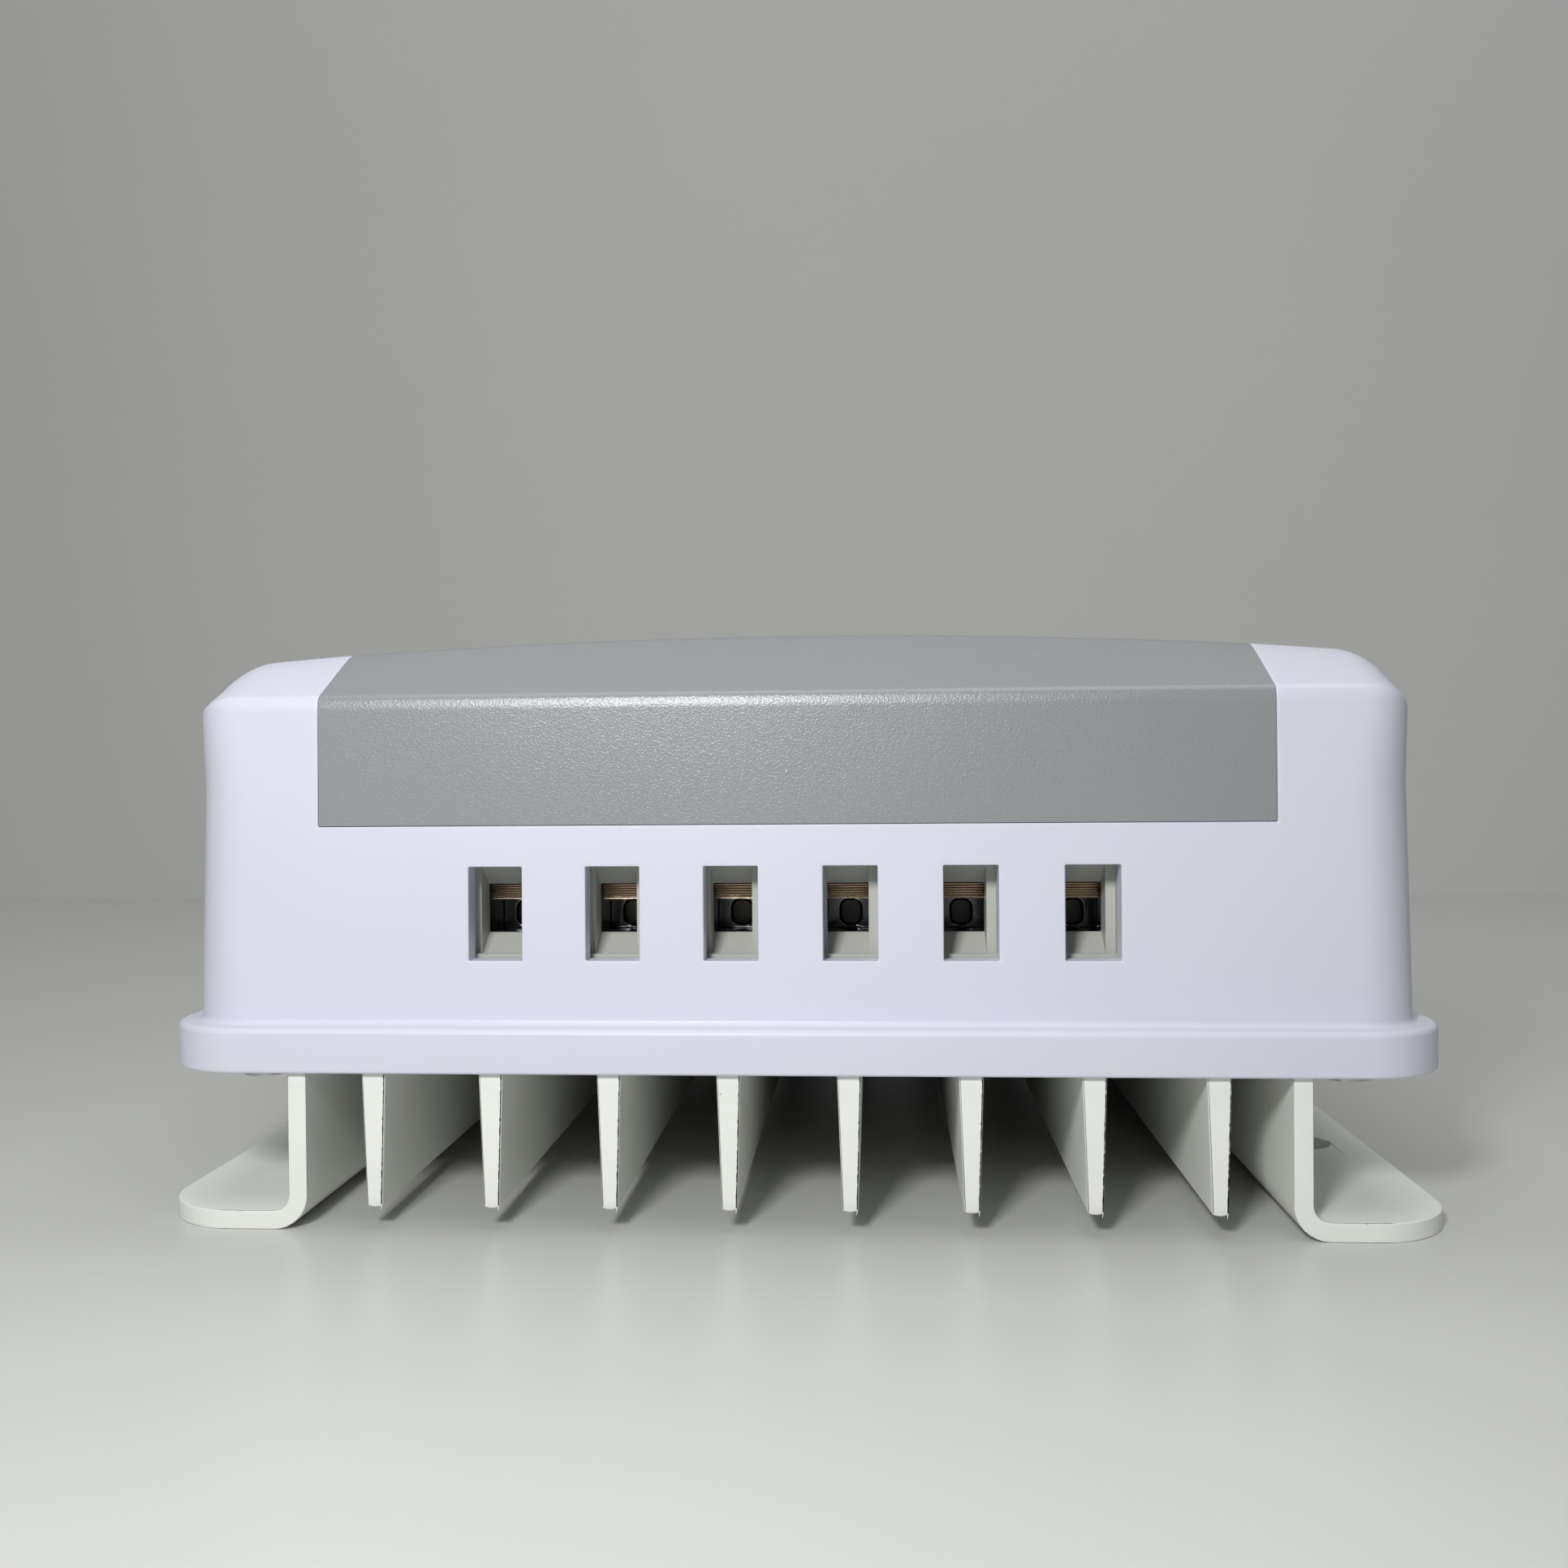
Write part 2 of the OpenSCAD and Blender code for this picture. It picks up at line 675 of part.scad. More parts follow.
// Two blade fuses in their holders
module fuses() color([0.85, 0.55, 0.15]) {
    for (x = [-10, 10]) translate([x, 74, board_top]) difference() {
        union() {
            slab([8, 22, 9], 0, 1);
            slab([5, 19, 18], 0, 0.8);
        }
        translate([0, 0, 12]) cube([8, 9, 3], center = true);
    }
}

// Flat cable from the display board down to the main board
module ribbon_cable() color([0.75, 0.76, 0.78]) {
    low = board_top + socket[2];
    high = display_board_z - socket[2];
    steps = 12;
    line = [for (i = [0:steps]) let (t = i / steps)
        [socket_y[0] + (socket_y[1] - socket_y[0]) * (1 - cos(180 * t)) / 2, low + (high - low) * t]];
    rotate([90, 0, 90]) linear_extrude(height = 18, center = true)
        polygon(concat([for (p = line) p + [0.4, 0]], [for (i = [steps:-1:0]) line[i] - [0.4, 0]]));
}

module ribbon_sockets() color(black) {
    translate([0, socket_y[0], 0]) slab(socket, board_top, 0.5);
    translate([0, socket_y[1], 0]) slab(socket, display_board_z - socket[2], 0.5);
}

// One fin, hanging from z0 to its soft tip
module fin_outline(x, z0) {
    tip_r = fin_t[1] / 2;
    translate([x, 0]) polygon(concat(
        [[fin_t[0] / 2, z0]], arc([0, fin_z + tip_r], tip_r, 0, -180, 10), [[-fin_t[0] / 2, z0]]));
}

// One leg and its foot, as one bent strip
module leg_outline() {
    inner = bend_r;
    outer = bend_r + leg_t;
    face = leg_span / 2 + leg_t / 2;
    polygon(concat(
        [[face, base_z + 1]],
        arc([face + inner, leg_t + inner], inner, 180, 270, 6),
        [[foot_w / 2, leg_t], [foot_w / 2, 0]],
        arc([face + inner, outer], outer, 270, 180, 8),
        [[face - leg_t, base_z + 1]]));
}

// Extruded heatsink, milled back at both ends so that the cover's skirt closes round its base
module heatsink() color(coated) {
    difference() {
        union() {
            rotate([90, 0, 0]) linear_extrude(height = sink_l, center = true) {
                for (k = [1:fin_count]) fin_outline((k - (fin_count + 1) / 2) * fin_pitch, base_z + 1);
                leg_outline();
                mirror([1, 0]) leg_outline();
            }
            slab([base_w, base_l, base_t], base_z, corner_r);
        }
        for (s = [0, 1]) mirror([0, s, 0]) {
            translate([-far / 2, base_l / 2, base_z]) cube([far, 20, 10]);
            for (t = [0, 1]) mirror([t, 0, 0]) translate([foot_w / 2 - foot_r, sink_l / 2 - foot_r, -1])
                difference() {
                    cube([foot_r + 1, foot_r + 1, leg_t + 2]);
                    translate([0, 0, -1]) cylinder(r = foot_r, h = leg_t + 4, $fn = 64);
                }
        }
        for (sx = [-1, 1], sy = [-1, 1])
            translate([sx * hole_span[0] / 2, sy * hole_span[1] / 2, -1])
                cylinder(d = hole_d, h = leg_t + 2);
        upright(cover_screw_at, cover_screw[0] + 0.4, base_z - 1, base_top + 1);
        for (s = [-1, 1], y = [-bar_y, bar_y])
            translate([s * bar_x, y, base_top - 3]) cylinder(r = bar_screw[0] + run, h = 4);
    }
}

cover();
face_panel();
heatsink();
display_window();
display_module();
display_board();
for (i = [1:4]) key(i);
key_switches();
display_screws();
main_board();
board_standoffs();
board_screws();
terminal_block();
for (i = [1:poles]) terminal_cage(i);
for (i = [1:poles]) clamp_plate(i);
for (i = [1:poles]) terminal_screw(i);
power_transistors();
thermal_pads();
clamp_bars();
clamp_bar_screws();
choke_core(1);  // choke_core_1
choke_core(2);  // choke_core_2
choke_winding(1);  // choke_winding_1
choke_winding(2);  // choke_winding_2
for (i = [1:4]) capacitor(i);
control_chip();
fuses();
ribbon_cable();
ribbon_sockets();
cover_screws();
panel_screws();
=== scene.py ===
"""Solar charge controller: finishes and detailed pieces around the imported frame."""
import json
import math

import bmesh
import bpy
import numpy as np
from mathutils import Matrix, Vector


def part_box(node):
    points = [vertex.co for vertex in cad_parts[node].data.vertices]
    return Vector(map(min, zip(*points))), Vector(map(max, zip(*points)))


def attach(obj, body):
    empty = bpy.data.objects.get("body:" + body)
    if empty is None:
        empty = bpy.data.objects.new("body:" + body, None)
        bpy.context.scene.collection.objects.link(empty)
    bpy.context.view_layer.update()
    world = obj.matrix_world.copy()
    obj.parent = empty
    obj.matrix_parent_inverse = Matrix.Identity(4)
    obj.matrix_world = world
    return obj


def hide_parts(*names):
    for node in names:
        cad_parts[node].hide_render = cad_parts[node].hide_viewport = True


bl_info = {
    "name": "Solar charge controller",
    "version": (1, 0, 0),
    "blender": (4, 5, 0),
    "location": "3D View > Sidebar > Controller",
    "description": "Builds the cover, panel, heatsink, clamps and finishes of a solar charge controller",
    "category": "Object",
}

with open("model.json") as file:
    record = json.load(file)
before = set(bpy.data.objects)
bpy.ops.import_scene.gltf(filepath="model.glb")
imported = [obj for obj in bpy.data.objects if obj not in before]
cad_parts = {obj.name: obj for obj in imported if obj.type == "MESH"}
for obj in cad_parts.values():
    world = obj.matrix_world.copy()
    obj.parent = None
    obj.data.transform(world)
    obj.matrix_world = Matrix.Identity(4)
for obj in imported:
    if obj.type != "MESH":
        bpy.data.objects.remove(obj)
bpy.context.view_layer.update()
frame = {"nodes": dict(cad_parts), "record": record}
NODES = frame["nodes"]
MM = 0.001

# Points nearer than this are one, and lines are rounded to as many decimals
SAME_PLACE = 1e-6
DECIMALS = 7

# Widest cells of the cover and the panel
CELL_X = 4 * MM
CELL_Y = 6 * MM

HOUSING = "housing"
POLES = range(1, 7)
KEYS = range(1, 5)

COVER_LOW, COVER_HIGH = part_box("cover")
PANEL_LOW, PANEL_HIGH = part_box("face_panel")
SINK_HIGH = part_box("heatsink")[1]
WINDOW_LOW, WINDOW_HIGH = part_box("display_window")

# Filled by the operator of the finishes, by the record's slot
MATERIALS = {}


def node_middle(node):
    """Middle of a node's box."""
    low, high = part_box(node)
    return (low + high) / 2


def length(name, description, millimetres):
    """A length that a user can change."""
    default = millimetres * MM
    return bpy.props.FloatProperty(name=name, description=description, default=default, unit="LENGTH")


def lean_angle(name, description, degrees):
    """An angle that a user can change."""
    default = math.radians(degrees)
    return bpy.props.FloatProperty(name=name, description=description, default=default, subtype="ANGLE")


def finish_colour(name, description, default):
    """A colour that a user can change."""
    return bpy.props.FloatVectorProperty(
        name=name, description=description, subtype="COLOR", default=default)


class CoverSizes(bpy.types.PropertyGroup):
    """Sizes of the cover's moulded form."""

    rim_out: length("Rim", "How far the rim stands out from the walls", 2.9)
    rim_height: length("Rim height", "Height of the rim", 5.7)
    rim_round: length("Rim rounding", "Rounding of the rim's edges", 0.8)
    wall: length("Wall", "Wall thickness", 3.2)
    draft: lean_angle("Draft", "Lean of the walls", 1.1)
    corner: length("Corner radius", "Radius of the upright corners", 8.1)
    crease_height: length("Crease height", "Height where the end wall turns into the slope", 67.4)
    crease_soft: length("Crease softness", "Softness of that turn", 0.4)
    strip: length("Strip", "Height of the strip under the crease that leans in", 1.1)
    strip_lean: lean_angle("Strip lean", "Lean of that strip", 14)
    slope: lean_angle("Slope", "Angle of the sloped ends", 28.3)
    crown: length("Crown radius", "Radius of the crowned top", 846)
    shoulder: length("Shoulder radius", "Radius from the top to the sides", 6.6)
    slope_corner: length("Slope corner", "Radius of the corners at the crease", 5.7)
    crown_edge: length("Crown edge", "Softness of the edge between slope and top", 0.4)
    edge: length("Edge rounding", "Rounding of the openings' edges", 0.16)
    entry_width: length("Entry width", "Width of a wiring opening", 6.85)
    entry_height: length("Entry height", "Height of a wiring opening", 11.9)
    entry_bottom: length("Entry bottom", "Lower edge of the wiring openings", 33.85)
    entry_shift: length("Entry shift", "Sideways offset of the openings from the poles", 0.25)
    panel_gap: length("Panel gap", "Gap round the face panel", 0.06)
    panel_thick: length("Panel thickness", "Thickness of the face panel", 1.6)
    skirt_inset: length("Skirt inset", "How far the skirt's inner face lies inside the walls", 0.3)


class SinkSizes(bpy.types.PropertyGroup):
    """Sizes of the heatsink."""

    fins: bpy.props.IntProperty(name="Fins", description="Number of fins", default=8, min=2)
    pitch: length("Fin spacing", "Distance between fins", 15)
    root: length("Fin root", "Thickness of a fin at the base", 3.1)
    tip: length("Fin tip", "Thickness of a fin at its tip", 2)
    clearance: length("Clearance", "Height of the fin tips over the feet's plane", 3)
    leg_span: length("Leg span", "Distance between the legs", 124.9)
    leg: length("Leg thickness", "Thickness of legs and feet", 2.35)
    bend: length("Bend radius", "Inner radius between leg and foot", 2)
    foot_corner: length("Foot corner", "Radius of the feet's corners", 10.5)
    hole: length("Hole", "Diameter of the mounting holes", 8)
    hole_across: length("Holes across", "Distance between the holes across", 146)
    hole_along: length("Holes along", "Distance between the holes along", 130)
    plate: length("Plate", "Thickness of the base plate", 4)
    plate_inset: length("Plate inset", "How far the base plate lies inside the cover's walls", 0.6)
    ragged: length("Ragged edge", "Unevenness of the sawn edges", 0.11)


class Finishes(bpy.types.PropertyGroup):
    """Colours of the finishes and of the stage."""

    cover: finish_colour("Cover", "Moulded plastic of the cover", (0.69, 0.70, 0.805))
    panel: finish_colour("Panel", "Textured plastic of the face panel", (0.285, 0.30, 0.31))
    coat: finish_colour("Coat", "Powder coat of the heatsink", (0.88, 0.895, 0.85))
    block: finish_colour("Block", "Moulding of the terminal block", (0.50, 0.51, 0.47))
    floor: finish_colour("Floor", "Pale floor", (0.60, 0.61, 0.585))
    wall: finish_colour("Backdrop", "Plain backdrop", (0.89, 0.90, 0.88))


def arithmetic(operation):
    """An operator between a value and another, or a number, that adds its Math node."""
    return lambda value, other: value.maths(operation, other)


class Value:
    """A socket in a node tree. Sums and products of it add their Math nodes."""

    def __init__(self, tree, socket):
        self.tree = tree
        self.socket = socket

    def maths(self, operation, *others):
        """A Math node on this socket and others."""
        return self.tree.node("ShaderNodeMath", [self, *others], operation=operation)

    def __rsub__(self, other):
        return self.tree.node("ShaderNodeMath", [other, self], operation="SUBTRACT")

    __add__ = __radd__ = arithmetic("ADD")
    __sub__ = arithmetic("SUBTRACT")
    __mul__ = __rmul__ = arithmetic("MULTIPLY")
    __truediv__ = arithmetic("DIVIDE")
    __gt__ = arithmetic("GREATER_THAN")
    __lt__ = arithmetic("LESS_THAN")


class Tree:
    """A node tree, of a material or of geometry nodes."""

    def __init__(self, nodes):
        self.tree = nodes

    def node(self, kind, inputs=(), output=0, **settings):
        """Adds a node: its settings first, then the values or links of its sockets."""
        made = self.tree.nodes.new(kind)
        for name, value in settings.items():
            setattr(made, name, value)
        pairs = inputs.items() if isinstance(inputs, dict) else enumerate(inputs)
        for name, value in pairs:
            if isinstance(value, Value):
                self.tree.links.new(value.socket, made.inputs[name])
            else:
                made.inputs[name].default_value = value
        return Value(self, made.outputs[output]) if len(made.outputs) else None

    def axes(self, vector, names="XYZ"):
        """Coordinates of a vector."""
        return [self.node("ShaderNodeSeparateXYZ", [vector], name) for name in names]

    def vector(self, *values):
        """A vector of three values."""
        return self.node("ShaderNodeCombineXYZ", values)


class Paint(Tree):
    """A material made of nodes, in Object coordinates."""

    def __init__(self, name):
        self.material = bpy.data.materials.new(name)
        self.material.use_nodes = True
        super().__init__(self.material.node_tree)
        self.tree.nodes.clear()
        self.place = self.node("ShaderNodeTexCoord", output="Object")

    def noise(self, size, detail=2.0, rough=0.5, place=None):
        """Noise between 0 and 1 whose features are about size metres wide."""
        return self.node("ShaderNodeTexNoise", {
            "Vector": place or self.place, "Scale": 1 / size, "Detail": detail, "Roughness": rough}, "Fac")

    def cells(self, size, feature="F1", place=None):
        """Distance inside cells about size metres wide."""
        return self.node("ShaderNodeTexVoronoi", {
            "Vector": place or self.place, "Scale": 1 / size}, "Distance", feature=feature)

    def stretched(self, scale):
        """Object coordinates scaled per axis."""
        return self.node("ShaderNodeMapping", {"Vector": self.place, "Scale": scale})

    def mix(self, factor, first, second):
        """Colour between first and second."""
        return self.node("ShaderNodeMix", {
            "Factor": factor, 6: as_colour(first), 7: as_colour(second)}, 2, data_type="RGBA")

    def tones(self, factor, tint, dark, light):
        """The tint times dark where factor is 0, and times light where it is 1."""
        return self.mix(factor, shade(tint, dark), shade(tint, light))

    def bump(self, height, depth):
        """Bump of a height between 0 and 1 that stands depth metres."""
        return self.node("ShaderNodeBump", {"Height": height, "Distance": depth, "Strength": 1.0})

    def finish(self, colour, roughness, bump=None, **constants):
        """Closes the material with its surface."""
        inputs = {"Base Color": as_colour(colour), "Roughness": roughness, **constants}
        if bump:
            inputs["Normal"] = bump
        shader = self.node("ShaderNodeBsdfPrincipled", inputs)
        self.node("ShaderNodeOutputMaterial", [shader])
        return self.material


def as_colour(value):
    """A colour with its alpha, or the socket that gives it."""
    return value if isinstance(value, Value) else (*tuple(value)[:3], 1.0)


def shade(colour, factor):
    """A colour made lighter or darker."""
    return tuple(min(1.0, c * factor) for c in colour)


def cover_plastic(colours):
    """Pale satin moulding with a very fine grain and faint clouding."""
    paint = Paint("cover_plastic")
    cloud = paint.noise(30 * MM, 3)
    grain = paint.noise(0.35 * MM, 3, 0.6)
    colour = paint.tones(cloud, colours.cover, 0.975, 1.02)
    roughness = 0.4 + 0.08 * paint.noise(8 * MM, 2)
    return paint.finish(colour, roughness, paint.bump(grain, 0.006 * MM))


def panel_plastic(colours):
    """Grey moulding with a spark-eroded leather grain that glints where light strikes along it."""
    paint = Paint("panel_plastic")
    cloud = paint.noise(25 * MM, 3)
    pits = paint.cells(0.24 * MM, "SMOOTH_F1")
    worm = paint.noise(0.17 * MM, 3, 0.6)
    colour = paint.tones(cloud, colours.panel, 0.96, 1.04)
    height = pits * 0.6 + worm * 0.7
    return paint.finish(colour, 0.22 + 0.08 * worm, paint.bump(height, 0.044 * MM), IOR=1.62)


def powder_coat(colours):
    """White coat with a fine orange peel and a few dark specks."""
    paint = Paint("powder_coat")
    sparse = paint.noise(11 * MM, 1) > 0.5
    speck = (paint.cells(3.2 * MM) < 0.045) * sparse
    peel = paint.noise(0.7 * MM, 2, 0.5)
    cloud = paint.noise(18 * MM, 3)
    coat = paint.tones(cloud, colours.coat, 0.97, 1.02)
    colour = paint.mix(speck * 0.55, coat, (0.16, 0.17, 0.16))
    return paint.finish(colour, 0.42 + 0.1 * cloud, paint.bump(peel, 0.012 * MM))


def block_plastic(colours):
    """Light grey moulding of the terminal block, with faint flow marks."""
    paint = Paint("block_plastic")
    flow = paint.noise(6 * MM, 3, place=paint.stretched((1, 3, 0.4)))
    grain = paint.noise(0.3 * MM, 2)
    colour = paint.tones(flow, colours.block, 0.93, 1.05)
    return paint.finish(colour, 0.42 + 0.1 * flow, paint.bump(grain, 0.008 * MM))


def plated(name, tint, roughness, brushed, ridges=None):
    """Plated metal with drawn marks along one axis, and level ridges where a spacing is given."""
    paint = Paint(name)
    marks = paint.noise(0.25 * MM, 3, 0.6, paint.stretched(brushed))
    stain = paint.noise(3 * MM, 3)
    colour = paint.tones(stain, tint, 0.85, 1.08)
    rough = roughness + 0.14 * (marks - 0.5)
    if ridges is None:
        return paint.finish(colour, rough, paint.bump(marks, 0.01 * MM), Metallic=1.0)
    height, = paint.axes(paint.place, "Z")
    wave = (height * (2 * math.pi / ridges)).maths("SINE") * 0.5 + marks
    return paint.finish(colour, rough, paint.bump(wave, 0.035 * MM), Metallic=1.0)


def moulded(name, tint, roughness=0.45, size=0.4):
    """Plain moulded plastic with a fine grain."""
    paint = Paint(name)
    cloud = paint.noise(5 * MM, 3)
    grain = paint.noise(size * MM, 2)
    colour = paint.tones(cloud, tint, 0.92, 1.06)
    return paint.finish(colour, roughness + 0.08 * grain, paint.bump(grain, 0.01 * MM))


def circuit_board(name):
    """Solder mask over copper tracks that run both ways."""
    paint = Paint(name)
    along = paint.cells(2.4 * MM, "DISTANCE_TO_EDGE", paint.stretched((1, 0.25, 1)))
    across = paint.cells(3.1 * MM, "DISTANCE_TO_EDGE", paint.stretched((0.2, 1, 1)))
    track = (along < 0.12).maths("MAXIMUM", across < 0.1)
    colour = paint.mix(track, (0.01, 0.10, 0.04), (0.015, 0.16, 0.07))
    return paint.finish(colour, 0.3, paint.bump(track, 0.03 * MM), **{"Coat Weight": 0.3})


def dark_window(name):
    """Clear front of the display, dark while it is off, with a black border printed behind it."""
    paint = Paint(name)
    half = (WINDOW_HIGH - WINDOW_LOW) / 2
    printed = 4 * MM
    middle = node_middle("display_window")
    local = paint.node("ShaderNodeMapping", {"Vector": paint.place, "Location": -middle})
    x, y = (place.maths("ABSOLUTE") for place in paint.axes(local, "XY"))
    border = (x > half.x - printed).maths("MAXIMUM", y > half.y - printed)
    haze = paint.noise(20 * MM, 2)
    glass = paint.mix(haze, (0.075, 0.09, 0.078), (0.10, 0.115, 0.098))
    colour = paint.mix(border, glass, (0.012, 0.012, 0.013))
    return paint.finish(colour, 0.07 + 0.03 * haze, **{"Coat Weight": 0.5})


def make_materials(colours):
    """Every finish, by the record's slot, and the clamp frames' nickel, painted nearly black as painted
    shade for their dark cavities.
    """
    return {
        "cover_white": cover_plastic(colours),
        "panel_grey": panel_plastic(colours),
        "coated_aluminium": powder_coat(colours),
        "window_clear": dark_window("display_glass"),
        "key_plastic": moulded("key_plastic", colours.cover, 0.4, 0.35),
        "display_dark": moulded("display_frame", (0.04, 0.045, 0.045), 0.3),
        "board_green": circuit_board("circuit_board"),
        "black_plastic": moulded("black_plastic", (0.02, 0.02, 0.022), 0.5),
        "terminal_grey": block_plastic(colours),
        "terminal_nickel": plated("plated_brass", (0.60, 0.47, 0.35), 0.24, (0.15, 1, 1), 0.34 * MM),
        # Clamp frames: nickel painted nearly black, a painted shade that stands in for the dark cavities
        # behind the wiring openings
        "frame_nickel_painted_dark": plated("nickel_painted_dark", (0.13, 0.13, 0.135), 0.14, (1, 1, 0.15)),
        "fastener_steel": plated("zinc_steel", (0.62, 0.62, 0.63), 0.34, (1, 1, 0.1)),
        "bar_steel": plated("strip_steel", (0.55, 0.55, 0.56), 0.4, (1, 0.1, 1)),
        "pad_grey": moulded("thermal_pad", (0.35, 0.38, 0.42), 0.8, 0.6),
        "ferrite": moulded("core_coating", (0.08, 0.1, 0.08), 0.55, 0.8),
        "copper_wire": plated("copper_wire", (0.62, 0.27, 0.1), 0.25, (1, 1, 0.2)),
        "capacitor_sleeve": moulded("capacitor_sleeve", (0.03, 0.04, 0.07), 0.35, 0.5),
        "fuse_orange": moulded("fuse_body", (0.7, 0.25, 0.03), 0.25, 0.7),
        "cable_grey": moulded("flat_cable", (0.45, 0.46, 0.48), 0.5, 0.5),
    }


def linked(name, data):
    """A new object in the scene."""
    obj = bpy.data.objects.new(name, data)
    bpy.context.scene.collection.objects.link(obj)
    return obj


def modify(obj, kind, **settings):
    """Adds a modifier and applies it."""
    modifier = obj.modifiers.new(kind.lower(), kind)
    for name, value in settings.items():
        setattr(modifier, name, value)
    return settle(obj)


def mesh_object(name, points, faces):
    """A new object from points and faces, with doubles merged and its faces outwards."""
    mesh = bpy.data.meshes.new(name)
    mesh.from_pydata([tuple(p) for p in points], [], faces)
    made = bmesh.new()
    made.from_mesh(mesh)
    bmesh.ops.remove_doubles(made, verts=made.verts, dist=SAME_PLACE)
    bmesh.ops.dissolve_degenerate(made, edges=made.edges, dist=SAME_PLACE / 10)
    bmesh.ops.recalc_face_normals(made, faces=made.faces)
    made.to_mesh(mesh)
    made.free()
    return linked(name, mesh)


def settle(obj):
    """Applies the object's modifiers to its mesh."""
    graph = bpy.context.evaluated_depsgraph_get()
    graph.update()
    mesh = bpy.data.meshes.new_from_object(obj.evaluated_get(graph))
    obj.modifiers.clear()
    obj.data = mesh
    return obj


def combine(obj, other, operation):
    """Joins the other closed mesh to the object or cuts it out, and removes it."""
    modify(obj, "BOOLEAN", operation=operation, solver="MANIFOLD", object=other)
    bpy.data.objects.remove(other)


def soften(obj, width, sharp=40, segments=3):
    """Rounds the sharp edges and shades the rest smooth."""
    limit = math.radians(sharp)
    obj.data.shade_smooth()
    modify(obj, "BEVEL", width=width, segments=segments, limit_method="ANGLE", angle_limit=limit,
           use_clamp_overlap=False, miter_outer="MITER_ARC")
    obj.data.shade_smooth()
    obj.data.set_sharp_from_angle(angle=limit)
    return modify(obj, "WEIGHTED_NORMAL", keep_sharp=True)


def dress(obj, slot, body, *nodes, finish=None):
    """Gives a finished piece its material, by its slot or finish, puts it on its body, and hides the nodes
    that it replaces.
    """
    obj.data.materials.clear()
    obj.data.materials.append(MATERIALS[finish or slot])
    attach(obj, body)
    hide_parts(*nodes)


def filled(lines, step):
    """The lines in order, with others between them so that no gap is wider than step."""
    lines = sorted(set(round(line, DECIMALS) for line in lines))
    made = [lines[0]]
    for low, high in zip(lines, lines[1:]):
        parts = math.ceil((high - low) / step - SAME_PLACE)
        made += [low + (high - low) * k / parts for k in range(1, parts + 1)]
    return np.array(made)


def soft_max(a, b, radius):
    """The greater of two distances, rounded where they meet."""
    both = (a > -radius) & (b > -radius)
    return np.where(both, np.hypot(a + radius, b + radius) - radius, np.maximum(a, b))


def round_rectangle(half, radius):
    """Distance field of a rounded rectangle in plan."""
    def field(p):
        over_x = np.abs(p[..., 0]) - half[0]
        over_y = np.abs(p[..., 1]) - half[1]
        return soft_max(over_x, over_y, radius)
    return field


class CoverForm:
    """The cover's outer form as a distance field, and rays that find it."""

    # Rays start this far inside the walls, and fan out from this height up over the slopes
    INNER_X = 16 * MM
    INNER_Y = 24 * MM
    FAN_HEIGHT = 54 * MM
    RAY = 60 * MM
    HALVINGS = 40

    # Between the walls and the top of the rim
    FILLET = 0.8 * MM

    # The corners' radius changes from here under the crease, to here over it, to here under the top
    UNDER_CREASE = 12 * MM
    OVER_CREASE = 1 * MM
    UNDER_TOP = 2 * MM

    def __init__(self, sizes):
        self.s = sizes
        self.rim_top = COVER_LOW.z + sizes.rim_height
        self.wall_half = (COVER_HIGH.x - sizes.rim_out, COVER_HIGH.y - sizes.rim_out)
        self.inner = (self.wall_half[0] - self.INNER_X, self.wall_half[1] - self.INNER_Y)
        self.top = PANEL_HIGH.z
        self.fall = (sizes.crease_height - self.rim_top) * math.tan(sizes.draft)

    def outside(self, p):
        """How far places lie outside the form."""
        s = self.s
        x, y, z = np.abs(p[..., 0]), np.abs(p[..., 1]), p[..., 2]
        lean = (z - self.rim_top) * math.tan(s.draft)
        crease = self.wall_half[1] - self.fall
        side = x - self.wall_half[0] + lean
        end = y - self.wall_half[1] + lean
        crown = np.hypot(x, z - self.top + s.crown) - s.crown
        slope = (y - crease) * math.sin(s.slope) + (z - s.crease_height) * math.cos(s.slope)
        strip_height = z - s.crease_height + s.strip
        strip = (y - crease) * math.cos(s.strip_lean) + strip_height * math.sin(s.strip_lean)
        changes = (s.crease_height - self.UNDER_CREASE, s.crease_height + self.OVER_CREASE,
                   self.top - self.UNDER_TOP)
        corner = np.interp(z, changes, (s.corner, s.slope_corner, s.crown_edge))
        ends = soft_max(soft_max(end, strip, s.crease_soft / 4), slope, s.crease_soft)
        return soft_max(soft_max(side, crown, s.shoulder), ends, corner)

    def cast(self, start, way, depth=0.0, field=None):
        """Places where rays from start along way meet the form, moved in by depth."""
        field = field or self.outside
        near = np.zeros(start.shape[:-1])
        far = np.full(start.shape[:-1], self.RAY)
        for _ in range(self.HALVINGS):
            middle = (near + far) / 2
            out = field(start + way * middle[..., None]) > -depth
            far = np.where(out, middle, far)
            near = np.where(out, near, middle)
        return start + way * far[..., None]

    def crest(self, x, y, depth=0.0):
        """The top over places in plan."""
        start = np.stack([x, y, np.full_like(x, self.FAN_HEIGHT)], -1)
        return self.cast(start, np.array([0, 0, 1.0]), depth)

    def fan(self, x):
        """Angles of the rays over columns at x, closer at the crease and along the crown's edge.

        They are laid out with that edge at an even angle, and then spread to where it really is."""
        s = self.s
        crease = math.degrees(math.atan2(s.crease_height - self.FAN_HEIGHT, self.INNER_Y))
        height = self.top - s.crown + np.sqrt(s.crown ** 2 - x ** 2)
        reach = self.INNER_Y - self.fall - (height - s.crease_height) / math.tan(s.slope)
        edge = np.degrees(np.arctan2(height - self.FAN_HEIGHT, reach))
        even = 65
        low = crease + 5
        at_crease, at_edge, elsewhere = 0.35, 0.5, 2.4
        lines = [0, 90] + [crease + k * at_crease for k in range(-14, 8)]
        lines += [even + k * at_edge for k in range(-4, 5)]
        angles = []
        for line in filled(lines, elsewhere)[1:-1]:
            under = line + (edge - even) * max(0.0, line - low) / (even - low)
            over = 90 - (90 - line) * (90 - edge) / (90 - even)
            angles.append(np.radians(under if line <= even else over))
        return angles


